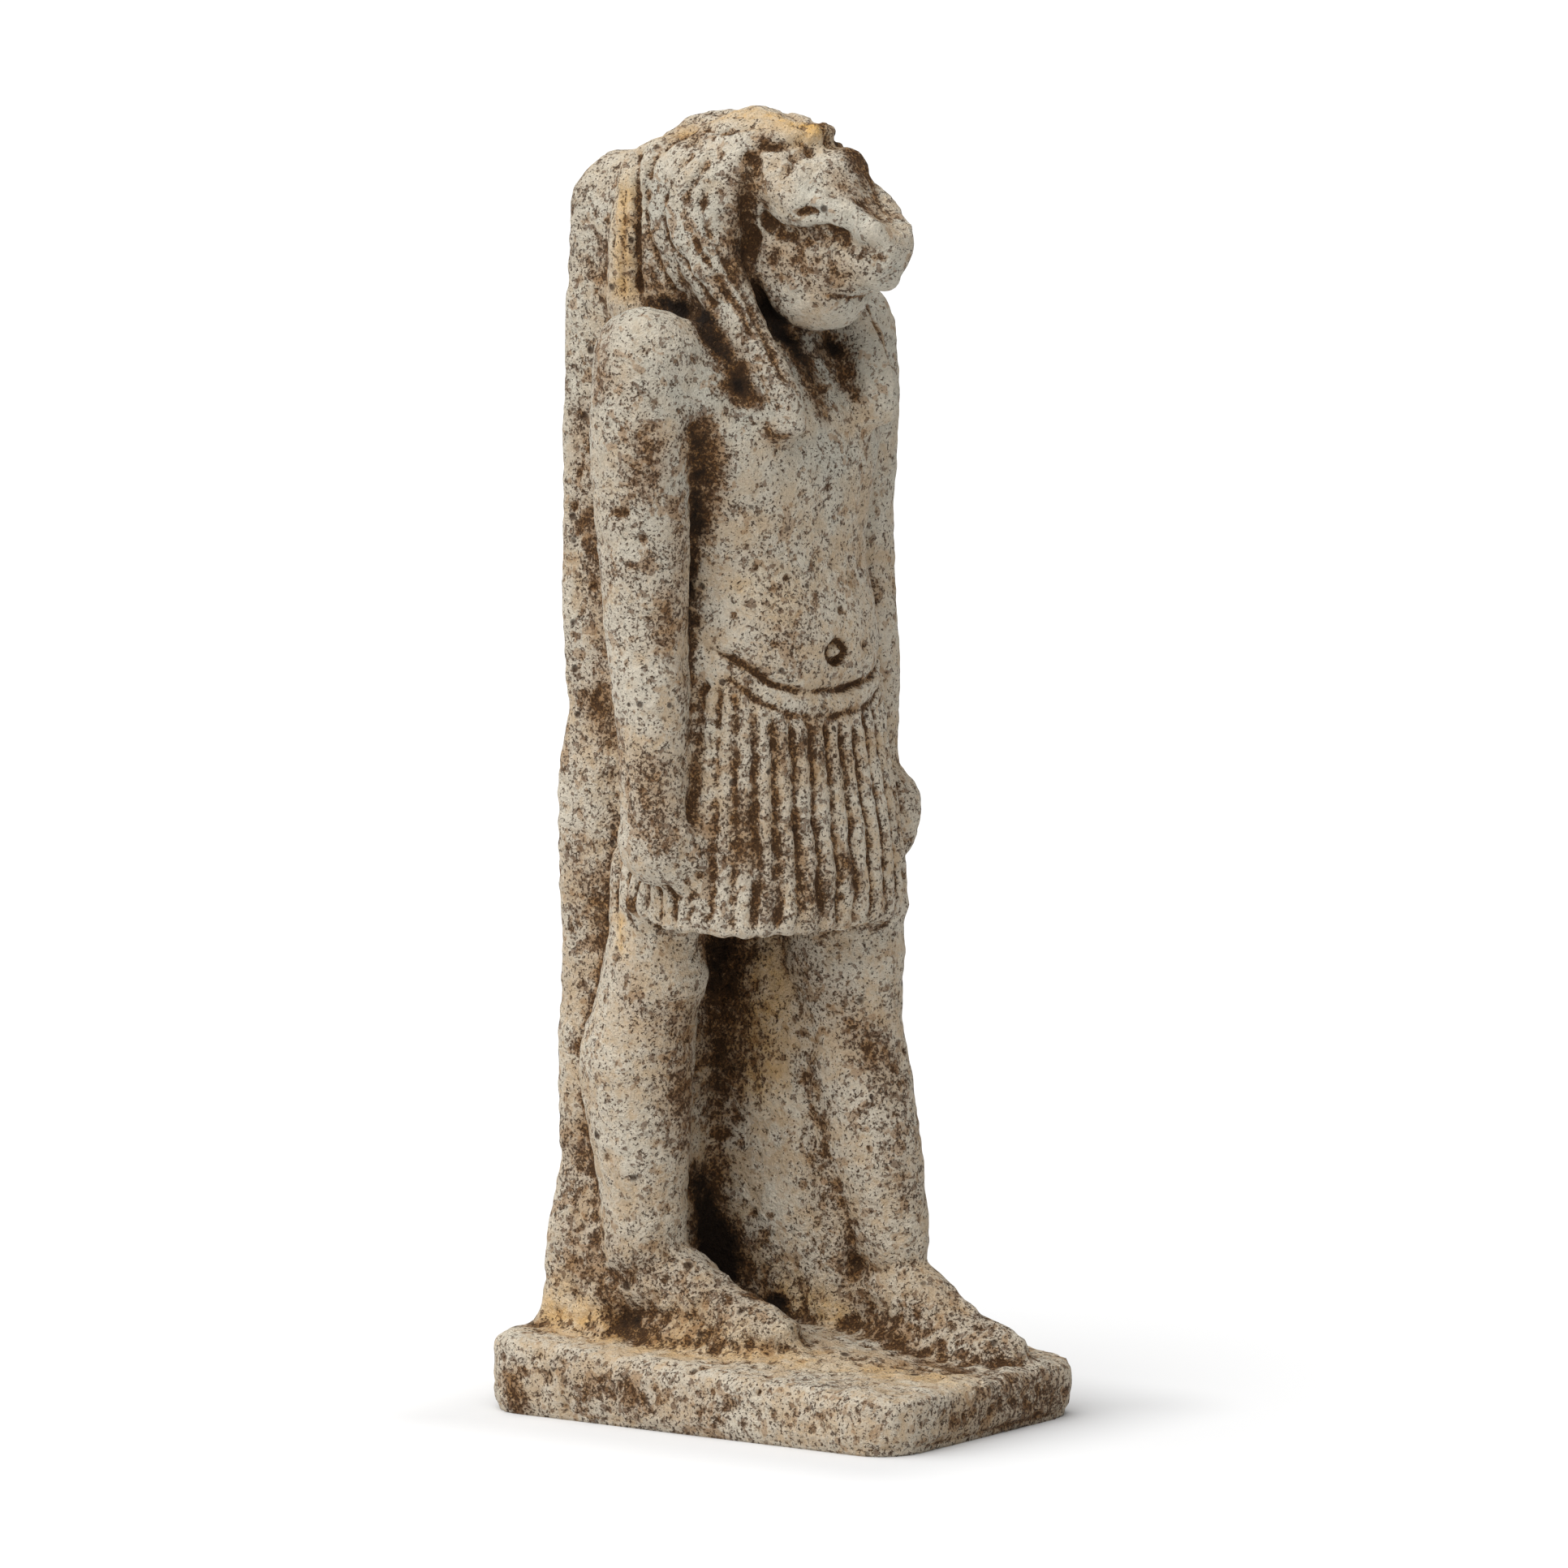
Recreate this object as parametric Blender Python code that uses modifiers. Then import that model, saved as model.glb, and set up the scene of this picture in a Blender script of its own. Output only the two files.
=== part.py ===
"""A small faience amulet: a striding figure with an animal head and a striated wig, in a pleated kilt,
against a back pillar on a low base. It was pressed and fired in one piece, so it is one solid.

Metres, +Z up. The figure faces -Y, its own left side is +X, and the origin is the centre of the underside.
The figure is laid out in steps from its own axis and the level of its soles. A step is a millimetre at the
real height, so the whole figure follows FIGURE_HEIGHT.
"""

import math

import bmesh
import bpy
import numpy as np
from mathutils import Matrix, Vector

MM = 0.001

# Driving dimensions
FIGURE_HEIGHT = 41.95 * MM  # from the soles to the top of the wig
STEP = FIGURE_HEIGHT / 41.95
SOLE_LEVEL = 2.6 * MM  # from the underside to the soles
BASE_WIDTH = 11.7 * MM
BASE_HEIGHT = 2.75 * MM  # at the upper edge of the sides, at the rear
BASE_FRONT_DROP = 0.75 * MM  # how much lower the upper edge is at the front
BASE_CORNER_RADIUS = 1.7 * MM  # of the corners, seen from above
BASE_EDGE_RADIUS = 0.5 * MM  # of the worn upper and lower edges
BASE_FRONT_RECESS = 0.2 * MM  # how far the worn lower edge stands back at the front
BASE_REAR_LEDGE = 1.45 * MM  # base that shows behind the pillar
BASE_TOE_MARGIN = 0.9 * MM  # base that shows in front of the left toes
MOUND_HEIGHT = 0.55 * MM  # how far the worn top of the base rises between the feet
PILLAR_WIDTH = 5.4 * MM
PILLAR_DEPTH = 2.65 * MM
PILLAR_EDGE_RADIUS = 0.35 * MM
PILLAR_TOP_RADIUS = 2.0 * MM
PILLAR_BELOW_CROWN = 1.5 * MM  # top of the wig to top of the pillar
WEB_THICKNESS = 1.7 * MM  # the sheet left standing behind the left leg
TURN = math.radians(-4.0)  # the upper body is turned a little to its own right
PLEAT_COUNT = 38  # all round the kilt
PLEAT_GROOVE_WIDTH = 0.36 * MM
PLEAT_GROOVE_DEPTH = 0.26 * MM
BELT_GROOVE_WIDTH = 0.34 * MM
BELT_GROOVE_DEPTH = 0.34 * MM
BELT_WIDTH = 0.85 * MM
LOCK_COUNT = 38  # all round the wig
LOCK_GROOVE_WIDTH = 0.32 * MM
LOCK_GROOVE_DEPTH = 0.24 * MM
NAVEL_RADIUS = 0.45 * MM

# How finely the form is fused, how far the joins are worn and how many triangles are kept
VOXEL = 0.17 * MM
SOFTENING_STEPS = 8
TRIANGLES = 9400
BELOW_GROUND = 0.2 * MM  # the block is made this much too deep, then cut off flat

BACK_REACH = 3.5 * STEP  # from the figure's axis back to the pillar
TOE_REACH = 9.1 * STEP  # from the figure's axis forward to the left toes
BASE_LENGTH = BASE_REAR_LEDGE + PILLAR_DEPTH + BACK_REACH + TOE_REACH + BASE_TOE_MARGIN
PILLAR_BACK_Y = BASE_LENGTH / 2 - BASE_REAR_LEDGE
AXIS = Vector((0.0, PILLAR_BACK_Y - PILLAR_DEPTH - BACK_REACH, SOLE_LEVEL))

# Level sections: height, half width, half depth, how far the centre is forward (-) or back (+), all in steps,
# and squareness
TORSO = [
    (19.5, 4.5, 3.0, -0.5, 2.4),
    (21.5, 4.4, 3.1, -0.5, 2.4),
    (23.2, 4.3, 3.2, -0.55, 2.3),
    (24.6, 4.2, 3.15, -0.55, 2.3),
    (26.6, 4.05, 2.75, -0.45, 2.2),
    (28.4, 4.3, 2.8, -0.45, 2.2),
    (30.4, 4.75, 2.95, -0.45, 2.3),
    (31.6, 4.95, 2.85, -0.35, 2.4),
    (32.6, 5.0, 2.5, -0.1, 2.5),
    (33.8, 4.9, 2.15, 0.2, 2.6),
    (35.0, 4.5, 1.8, 0.4, 2.6),
]
KILT = [
    (14.25, 5.5, 4.15, -0.45, 2.4),
    (16.3, 5.2, 3.95, -0.55, 2.35),
    (18.6, 4.95, 3.7, -0.5, 2.35),
    (20.6, 4.65, 3.4, -0.5, 2.35),
    (22.6, 4.45, 3.2, -0.5, 2.35),
    (24.4, 4.3, 3.0, -0.5, 2.35),
]
WIG = [
    (34.9, 3.1, 1.9, 1.7, 2.6),
    (36.4, 3.4, 2.3, 1.4, 2.6),
    (38.0, 3.5, 2.75, 1.1, 2.5),
    (39.3, 3.3, 2.95, 0.75, 2.4),
    (40.3, 2.9, 3.15, 0.4, 2.2),
    (41.1, 2.3, 3.05, 0.2, 2.1),
    (41.65, 1.6, 2.55, 0.0, 2.0),
    (41.95, 0.6, 1.4, -0.15, 2.0),
]
# Upright sections of the head from back to front: distance forward, underside, top, half width, squareness
HEAD = [
    (0.5, 35.2, 40.6, 2.0, 2.6),
    (-1.6, 34.9, 40.7, 2.0, 2.6),
    (-2.7, 34.6, 40.7, 1.95, 2.6),
    (-3.4, 34.65, 40.65, 1.85, 2.6),
    (-4.0, 34.95, 40.45, 1.7, 2.5),
    (-4.4, 35.65, 40.0, 1.55, 2.5),
    (-4.8, 36.05, 39.5, 1.4, 2.5),
    (-5.4, 36.15, 38.9, 1.25, 2.5),
    (-5.95, 36.5, 38.5, 1.05, 2.4),
    (-6.5, 37.2, 38.1, 0.7, 2.2),
]
# Marks on each side of the face: a line through x, y and z, its width and its depth, all in steps
UNDER_LOBE = [
    (1.95, -2.0, 38.3),
    (1.95, -3.3, 37.9),
    (1.6, -4.5, 38.0),
    (1.25, -5.1, 37.8),
    (0.9, -6.0, 37.45),
]
FACE_MARKS = [
    (UNDER_LOBE, 0.8, 0.22),
    ([(1.95, -3.6, 38.9), (1.85, -4.15, 38.85)], 0.55, 0.3),
    ([(1.9, -2.75, 39.9), (1.7, -3.35, 40.5)], 0.42, 0.26),
]
# The thick front edge of the wig, from one temple over the forehead to the other: side, x, y and z in steps
BRIM = [
    (-1, 2.5, -1.0, 38.4),
    (-1, 2.2, -1.6, 39.8),
    (-1, 1.2, -2.25, 40.85),
    (1, 0.0, -2.6, 41.15),
    (1, 1.2, -2.25, 40.85),
    (1, 2.2, -1.6, 39.8),
    (1, 2.5, -1.0, 38.4),
]
# Each lappet of the wig from the temple down to its blunt end: x, y, z and radius in steps
LAPPET = [
    (2.6, 0.6, 39.6, 1.1),
    (2.8, -0.2, 37.8, 1.1),
    (2.95, -1.1, 36.0, 0.95),
    (2.85, -2.3, 34.2, 0.82),
    (2.6, -3.3, 32.6, 0.8),
    (2.45, -3.5, 31.9, 0.75),
]
# How much wider the foot of the pillar is on each side at heights above the soles, in steps
PILLAR_SPREAD = [
    (-0.6, 1.3),
    (-0.1, 1.0),
    (0.5, 0.8),
    (1.3, 0.7),
    (2.3, 0.64),
    (3.3, 0.6),
    (4.3, 0.42),
    (5.2, 0.2),
    (6.0, -0.2),
]
# How the pillar's worn edge stands out or in above its foot, at heights above the soles, in steps
PILLAR_WEAR = [
    (5.4, 0.2),
    (7.6, 0.3),
    (9.8, 0.3),
    (11.2, 0.18),
    (14.2, 0.2),
    (15.3, 0.26),
    (19.2, 0.26),
    (21.4, -0.1),
    (24.1, 0.14),
    (26.3, 0.12),
    (30.7, 0.08),
    (37.0, -0.02),
]


def placed(x, y, z, turned=True):
    """A point of the figure, given in steps from its axis and from the soles."""
    point = Vector((x, y, z)) * STEP
    if turned:
        point = Matrix.Rotation(TURN, 3, "Z") @ point
    return point + AXIS


def in_steps(points, turned=True):
    """The other way round, for an array of points in metres."""
    steps = (points - np.array(AXIS)) / STEP
    if turned:
        steps = steps @ np.array(Matrix.Rotation(TURN, 3, "Z"))
    return steps


def add_object(name, mesh):
    made = bpy.data.objects.new(name, mesh)
    bpy.context.scene.collection.objects.link(made)
    return made


def mesh_from(name, fill):
    """A new object whose mesh the function fill makes in a bmesh."""
    shape = bmesh.new()
    fill(shape)
    bmesh.ops.recalc_face_normals(shape, faces=shape.faces)
    mesh = bpy.data.meshes.new(name)
    shape.to_mesh(mesh)
    shape.free()
    return add_object(name, mesh)


def ellipsoid(name, centre, radii, turned=True, tilt=(0.0, 0.0, 0.0)):
    """A rounded mass of the figure: centre and radii in steps, tilt in degrees about X, Y and Z."""
    turn = Matrix.Rotation(TURN, 4, "Z") if turned else Matrix.Identity(4)
    for angle, axis in zip(tilt, "XYZ"):
        turn = turn @ Matrix.Rotation(math.radians(angle), 4, axis)
    size = Matrix.Diagonal((*(r * STEP for r in radii), 1.0))
    place = Matrix.Translation(placed(*centre, turned)) @ turn @ size

    def fill(shape):
        bmesh.ops.create_uvsphere(shape, u_segments=32, v_segments=20, radius=1.0, matrix=place)

    return mesh_from(name, fill)


def as_mesh(tube):
    """The curve's own tube as a welded mesh object, in its place."""
    graph = bpy.context.evaluated_depsgraph_get()
    mesh = bpy.data.meshes.new_from_object(tube.evaluated_get(graph))
    shape = bmesh.new()
    shape.from_mesh(mesh)
    bmesh.ops.remove_doubles(shape, verts=shape.verts, dist=0.001 * MM)
    shape.to_mesh(mesh)
    shape.free()
    made = add_object(tube.name + "_mesh", mesh)
    bpy.data.objects.remove(tube)
    return made


def limb(name, stations, turned=True):
    """A tube that swells and narrows along stations of x, y, z and radius, in steps, with round ends."""
    curve = bpy.data.curves.new(name, "CURVE")
    curve.dimensions = "3D"
    curve.bevel_depth = 1.0
    curve.bevel_resolution = 6
    curve.use_fill_caps = True
    line = curve.splines.new("BEZIER")
    line.resolution_u = 8
    line.bezier_points.add(len(stations) - 1)
    for point, (x, y, z, radius) in zip(line.bezier_points, stations):
        point.co = placed(x, y, z, turned)
        point.radius = radius * STEP
        point.handle_left_type = point.handle_right_type = "AUTO"
    pieces = [as_mesh(add_object(name, curve))]
    for end, (x, y, z, radius) in (("start", stations[0]), ("end", stations[-1])):
        pieces.append(ellipsoid(f"{name}_{end}", (x, y, z), (radius, radius, radius), turned))
    return pieces


def rounded_outline(half_width, half_depth, squareness, count=72):
    """Points round an outline: an ellipse at squareness 2, nearer a rectangle above it."""
    points = []
    for i in range(count):
        angle = 2 * math.pi * i / count
        c, s = math.cos(angle), math.sin(angle)
        power = 2 / squareness
        x = math.copysign(abs(c) ** power, c) * half_width
        y = math.copysign(abs(s) ** power, s) * half_depth
        points.append((x, y))
    return points


def skin(name, outlines):
    """A closed skin through outlines that have as many points each."""

    def fill(shape):
        loops = [[shape.verts.new(point) for point in outline] for outline in outlines]
        for low, high in zip(loops, loops[1:]):
            for i in range(len(low)):
                j = (i + 1) % len(low)
                shape.faces.new((low[i], low[j], high[j], high[i]))
        shape.faces.new(reversed(loops[0]))
        shape.faces.new(loops[-1])

    return mesh_from(name, fill)


def between(sections, steps=4):
    """More sections in between, on a smooth curve through those given."""
    rows = np.array(sections)
    ends = np.vstack([2 * rows[0] - rows[1], rows, 2 * rows[-1] - rows[-2]])
    made = []
    for before, start, end, after in zip(ends, ends[1:], ends[2:], ends[3:]):
        for i in range(steps):
            t = i / steps
            bend = (2 * before - 5 * start + 4 * end - after) * t * t
            twist = (3 * start - before - 3 * end + after) * t * t * t
            made.append(0.5 * (2 * start + (end - before) * t + bend + twist))
    return made + [rows[-1]]


def level_loft(name, sections, rear_rise=0.0):
    """A skin through level sections; the lowest can rise towards the back."""
    outlines = []
    for z, half_width, half_depth, middle, squareness in between(sections):
        ring = rounded_outline(half_width, half_depth, squareness)
        rise = rear_rise * max(0.0, 1 - (z - sections[0][0]) / 3.0)
        outlines.append([placed(x, y + middle, z + rise * max(0.0, y)) for x, y in ring])
    return skin(name, outlines)


def forward_loft(name, sections):
    outlines = []
    for y, low, high, half_width, squareness in between(sections, 3):
        ring = rounded_outline(half_width, (high - low) / 2, squareness)
        outlines.append([placed(x, y, z + (high + low) / 2) for x, z in ring])
    return skin(name, outlines)


def block(name, low, high, corner_radius, edge_radius):
    """A box between two corners, with its upright edges rounded first and the others after."""
    low, high = Vector(low), Vector(high)
    place = Matrix.Translation((low + high) / 2) @ Matrix.Diagonal((*(high - low), 1.0))

    def fill(shape):
        bmesh.ops.create_cube(shape, size=1.0, matrix=place)
        upright = [e for e in shape.edges if abs(e.verts[0].co.z - e.verts[1].co.z) > 0.5 * (high.z - low.z)]
        bmesh.ops.bevel(shape, geom=upright, offset=corner_radius, segments=6, profile=0.5, affect="EDGES")
        rims = [e for e in shape.edges if abs(e.verts[0].co.z - e.verts[1].co.z) < 0.01 * MM]
        bmesh.ops.bevel(shape, geom=rims, offset=edge_radius, segments=4, profile=0.5, affect="EDGES")

    return mesh_from(name, fill)


def base_pieces():
    """The low base, lower at the front, with a worn mound between the feet."""
    half_width, half_length = BASE_WIDTH / 2, BASE_LENGTH / 2
    slab = block(
        "slab",
        (-half_width, -half_length, -BELOW_GROUND),
        (half_width, half_length, BASE_HEIGHT),
        BASE_CORNER_RADIUS,
        BASE_EDGE_RADIUS,
    )
    for vertex in slab.data.vertices:
        forward = (half_length - vertex.co.y) / BASE_LENGTH
        height_share = max(vertex.co.z, 0.0) / BASE_HEIGHT
        vertex.co.z -= BASE_FRONT_DROP * forward * height_share
        vertex.co.y += BASE_FRONT_RECESS * forward * (1 - height_share)
    mound_top = BASE_HEIGHT + MOUND_HEIGHT - 0.5 * BASE_FRONT_DROP
    place = Matrix.Translation((0.0, BASE_LENGTH * 0.03, mound_top / 2))
    place = place @ Matrix.Rotation(math.radians(2.6), 4, "X")
    size = Matrix.Diagonal((half_width * 0.94, half_length * 0.88, mound_top / 2, 1.0))

    def fill(shape):
        bmesh.ops.create_uvsphere(shape, u_segments=40, v_segments=24, radius=1.0, matrix=place @ size)

    return [slab, mesh_from("mound", fill)]


def pillar():
    """The back pillar with its rounded upper corners, spreading a little where it meets the base."""
    half_width = PILLAR_WIDTH / 2
    top = SOLE_LEVEL + FIGURE_HEIGHT - PILLAR_BELOW_CROWN
    shaft = block(
        "pillar",
        (-half_width, PILLAR_BACK_Y - PILLAR_DEPTH - STEP, SOLE_LEVEL / 2),
        (half_width, PILLAR_BACK_Y, top - PILLAR_TOP_RADIUS),
        PILLAR_EDGE_RADIUS,
        PILLAR_EDGE_RADIUS,
    )
    head = block(
        "pillar_head",
        (-half_width, PILLAR_BACK_Y - PILLAR_DEPTH - STEP, top - 4 * PILLAR_TOP_RADIUS),
        (half_width, PILLAR_BACK_Y, top),
        PILLAR_EDGE_RADIUS,
        PILLAR_TOP_RADIUS,
    )
    middle = (BACK_REACH + PILLAR_DEPTH / 2) / STEP
    outlines = []
    for height, wider in PILLAR_SPREAD:
        ring = rounded_outline(half_width / STEP + wider, (PILLAR_DEPTH / STEP + wider) / 2, 8.0)
        outlines.append([placed(x, y + middle + wider / 2, height, False) for x, y in ring])
    return [shaft, head, skin("pillar_foot", outlines)]


def web():
    """The sheet between the left leg and the pillar, which fills the space behind the stride."""
    middle = 2.1 * STEP
    return block(
        "web",
        (middle - WEB_THICKNESS / 2, AXIS.y - 2.6 * STEP, SOLE_LEVEL / 2),
        (middle + WEB_THICKNESS / 2, PILLAR_BACK_Y - PILLAR_DEPTH / 2, SOLE_LEVEL + 16 * STEP),
        0.2 * WEB_THICKNESS,
        0.2 * WEB_THICKNESS,
    )


def leg_pieces():
    """Both legs and feet: the left one strides forward, the right one stands against the pillar."""
    right_leg = [
        (-2.6, 2.0, 16.0, 1.8),
        (-2.65, 2.2, 13.8, 1.7),
        (-2.75, 2.5, 11.6, 1.75),
        (-2.85, 2.75, 9.5, 1.92),
        (-2.75, 2.75, 7.2, 1.75),
        (-2.6, 2.8, 5.0, 1.5),
        (-2.4, 2.9, 3.2, 1.45),
    ]
    left_leg = [
        (2.6, -1.5, 16.0, 2.1),
        (2.7, -1.9, 13.0, 2.05),
        (2.7, -2.2, 10.6, 1.72),
        (2.7, -2.65, 8.2, 1.75),
        (2.7, -3.2, 5.8, 1.65),
        (2.8, -3.85, 3.2, 1.25),
    ]
    right_foot = [
        (-2.1, 3.7, 1.45, 1.3),
        (-2.1, 2.0, 1.9, 1.35),
        (-2.0, 0.1, 1.05, 1.1),
        (-2.0, -2.0, 0.55, 0.85),
    ]
    left_foot = [
        (2.8, -2.6, 0.9, 1.25),
        (2.8, -4.25, 1.4, 1.25),
        (2.85, -6.2, 0.35, 1.1),
        (2.9, -8.3, -0.15, 0.7),
    ]
    pieces = limb("right_leg", right_leg, False) + limb("left_leg", left_leg, False)
    pieces += limb("right_foot", right_foot, False) + limb("left_foot", left_foot, False)
    for name, x, y, z in (("right_toes", -2.0, -1.3, 0.5), ("left_toes", 2.9, -7.3, -0.2)):
        pieces.append(ellipsoid(name, (x, y, z), (1.3, 1.9, 0.75), False))
    for name, x, y in (("right_instep", -2.1, 0.9), ("left_instep", 2.85, -4.9)):
        pieces.append(ellipsoid(name, (x, y, -0.2), (1.55, 3.6, 1.3), False))
    pieces.append(ellipsoid("right_knee", (-2.65, 1.45, 12.5), (1.4, 1.1, 1.3), False))
    pieces.append(ellipsoid("left_knee", (2.6, -2.75, 12.2), (1.4, 1.15, 1.5), False))
    return pieces


def arm_pieces():
    """Both arms hang at the sides with closed fists, the left one a little further forward."""
    pieces = []
    for side, name, forward, elbow_back in ((-1, "right", 0.0, 0.0), (1, "left", -0.8, 0.35)):
        stations = [
            (side * 5.35, 0.35, 33.9, 1.78),
            (side * 5.7, 0.3 + 0.4 * elbow_back, 31.0, 1.74),
            (side * (5.8 - 0.4 * elbow_back), 0.1 + elbow_back, 27.2, 1.56),
            (side * 5.7, -0.1, 22.8, 1.33),
            (side * 5.6, -0.2, 20.0, 1.2),
            (side * 5.5, -0.25, 18.2, 1.3),
        ]
        pieces += limb(f"{name}_arm", stations)
        pieces.append(ellipsoid(f"{name}_shoulder", (side * 5.1, 0.35, 33.8), (2.0, 1.8, 1.75)))
        pieces.append(ellipsoid(f"{name}_breast", (side * 3.6, -0.05, 32.4), (2.4, 2.0, 2.3)))
        pieces.append(ellipsoid(f"{name}_fist", (side * 5.5, -0.3 + forward, 17.6), (1.3, 1.5, 1.6)))
        thumb = (side * 5.1, -1.25 + forward, 16.75)
        pieces.append(ellipsoid(f"{name}_thumb", thumb, (0.7, 0.75, 1.0), tilt=(20, 0, 0)))
    return pieces


def head_pieces():
    """The head with the broken stump of a long snout, on a short neck, and a pale lobe round each eye."""
    pieces = [ellipsoid("neck", (0.0, 0.6, 34.6), (2.5, 2.1, 2.4)), forward_loft("head", HEAD)]
    for side, name in ((-1, "right"), (1, "left")):
        lobe = [
            (side * 1.4, -2.5, 39.7, 0.95),
            (side * 1.45, -3.2, 39.0, 0.8),
            (side * 1.15, -4.6, 38.85, 0.55),
            (side * 0.8, -6.0, 38.25, 0.4),
        ]
        pieces += limb(f"{name}_eye_lobe", lobe)
    return pieces


def wig_pieces():
    """The wig: a cap with a thick front edge, a fall behind each shoulder and a lappet down each side."""
    pieces = [level_loft("cap", WIG)]
    brim = [(side * x, y, z, 0.5) for side, x, y, z in BRIM]
    pieces += limb("brim", brim)
    for side, name in ((-1, "right"), (1, "left")):
        pieces += limb(f"{name}_lappet", [(side * x, y, z, radius) for x, y, z, radius in LAPPET])
        fall = [(side * 2.5, 2.7, 39.2, 1.0), (side * 2.7, 2.9, 37.3, 1.0), (side * 2.75, 3.0, 35.4, 0.95)]
        pieces += limb(f"{name}_fall", fall)
        pieces.append(ellipsoid(f"{name}_behind_lappet", (side * 2.1, -0.2, 35.3), (0.9, 0.95, 1.7)))
    return pieces


def fused(pieces):
    """All pieces as one skin: voxels join them and a short smoothing wears the joins."""
    shape = bmesh.new()
    for piece in pieces:
        shape.from_mesh(piece.data)
    mesh = bpy.data.meshes.new("fused")
    shape.to_mesh(mesh)
    shape.free()
    for piece in pieces:
        bpy.data.objects.remove(piece)
    whole = add_object("fused", mesh)
    remesh = whole.modifiers.new("fuse", "REMESH")
    remesh.mode = "VOXEL"
    remesh.voxel_size = VOXEL
    smooth = whole.modifiers.new("wear", "SMOOTH")
    smooth.factor = 0.5
    smooth.iterations = SOFTENING_STEPS
    return applied(whole)


def applied(whole):
    """The object with its modifiers made real."""
    graph = bpy.context.evaluated_depsgraph_get()
    mesh = bpy.data.meshes.new_from_object(whole.evaluated_get(graph))
    made = add_object(whole.name, mesh)
    bpy.data.objects.remove(whole)
    return made


def vertex_arrays(mesh):
    count = len(mesh.vertices)
    points = np.empty(count * 3)
    mesh.vertices.foreach_get("co", points)
    normals = np.empty(count * 3)
    mesh.vertices.foreach_get("normal", normals)
    return points.reshape(-1, 3), normals.reshape(-1, 3)


def ramp(values, low, high):
    """0 below low, 1 above high, smooth between."""
    share = np.clip((values - low) / (high - low), 0.0, 1.0)
    return share * share * (3 - 2 * share)


def groove_shape(distance, width):
    """1 in the middle of a groove, 0 beyond its half width."""
    share = np.clip(np.abs(distance) / (width / 2), 0.0, 1.0)
    return (1 - share * share) ** 2


def along_path(points, normals, path):
    """Distance of each point from a path of points, measured in the surface, as far as they are near it."""
    nearest = np.full(len(points), 1e9)
    for start, end in zip(path, path[1:]):
        run = end - start
        share = np.clip((points - start) @ run / (run @ run), 0.0, 1.0)
        away = points - start - share[:, None] * run
        rise = np.einsum("ij,ij->i", away, normals)
        aside = np.sqrt(np.maximum(np.einsum("ij,ij->i", away, away) - rise * rise, 0.0))
        aside[np.abs(rise) > 1.1] = 1e9
        nearest = np.minimum(nearest, aside)
    return nearest


def section_at(sections, heights):
    """The level section at each height, as arrays of half width, half depth, centre and squareness."""
    levels = [s[0] for s in sections]
    return [np.interp(heights, levels, [s[i] for s in sections]) for i in range(1, 5)]


def round_the_section(steps, sections):
    """How far out each point is (1 on the outline) and its angle from straight ahead."""
    half_width, half_depth, middle, squareness = section_at(sections, steps[:, 2])
    across = steps[:, 0] / half_width
    ahead = -(steps[:, 1] - middle) / half_depth
    out = (np.abs(across) ** squareness + np.abs(ahead) ** squareness) ** (1 / squareness)
    return out, np.arctan2(across, ahead)


def belt_height(across):
    """Height of the belt's upper groove, low at the front and rising to the sides."""
    return 22.45 + 2.35 * np.minimum(np.abs(across) / 4.6, 1.0) ** 3.2


def carve_kilt(steps, depth):
    """The belt between two grooves and the pleats below it."""
    out, angle = round_the_section(steps, KILT)
    on_skin = 1 - ramp(out, 1.07, 1.14)
    height = steps[:, 2]
    upper = belt_height(steps[:, 0])
    lower = upper - BELT_WIDTH / STEP
    not_back = 1 - ramp(steps[:, 1], 2.6, 3.2)
    slack = on_skin * not_back
    belt = groove_shape(height - upper, BELT_GROOVE_WIDTH / STEP) + 0.7 * groove_shape(
        height - lower, BELT_GROOVE_WIDTH / STEP
    )
    depth += BELT_GROOVE_DEPTH / STEP * belt * slack
    turn = angle * PLEAT_COUNT / (2 * math.pi)
    nearest = turn - np.round(turn)
    _, half_width, half_depth, _, _ = KILT[2]
    perimeter = math.pi * (half_width + half_depth)
    aside = nearest * perimeter / PLEAT_COUNT
    pleats = groove_shape(aside, PLEAT_GROOVE_WIDTH / STEP)
    inside = (1 - ramp(height, lower - 0.35, lower - 0.1)) * ramp(height, 13.9, 14.2)
    depth += PLEAT_GROOVE_DEPTH / STEP * pleats * inside * slack


def carve_wig(steps, normals, depth):
    """Locks that run from the back of the crown over the cap, and along the lappets."""
    pole = np.array([0.0, 0.45, 0.89])
    ahead = np.array([0.0, -0.89, 0.45])
    from_middle = steps - np.array([0.0, 0.6, 38.0])
    angle = np.arctan2(from_middle[:, 0], from_middle @ ahead)
    reach = np.hypot(from_middle[:, 0], from_middle @ ahead)
    turn = angle * LOCK_COUNT / (2 * math.pi)
    aside = (turn - np.round(turn)) * 2 * math.pi * np.minimum(reach, 3.6) / LOCK_COUNT
    locks = groove_shape(aside, LOCK_GROOVE_WIDTH / STEP)
    out, _ = round_the_section(steps, WIG)
    on_cap = ramp(steps[:, 2], 36.0, 36.4) * ramp(reach, 0.8, 1.6) * ramp(out, 0.86, 0.92)
    on_cap *= (1 - ramp(out, 1.16, 1.22)) * (1 - ramp(steps[:, 1], 3.2, 3.5))
    depth += LOCK_GROOVE_DEPTH / STEP * locks * on_cap
    for side in (-1, 1):
        for aside in (-0.5, 0.0, 0.5):
            strand = np.array([(side * (x + 0.45), y + aside, z + 0.45 * aside) for x, y, z, _ in LAPPET[1:]])
            near = along_path(steps, normals, strand)
            below_cap = 1 - ramp(steps[:, 2], 36.0, 36.4)
            depth += LOCK_GROOVE_DEPTH / STEP * groove_shape(near, LOCK_GROOVE_WIDTH / STEP) * below_cap


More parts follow.
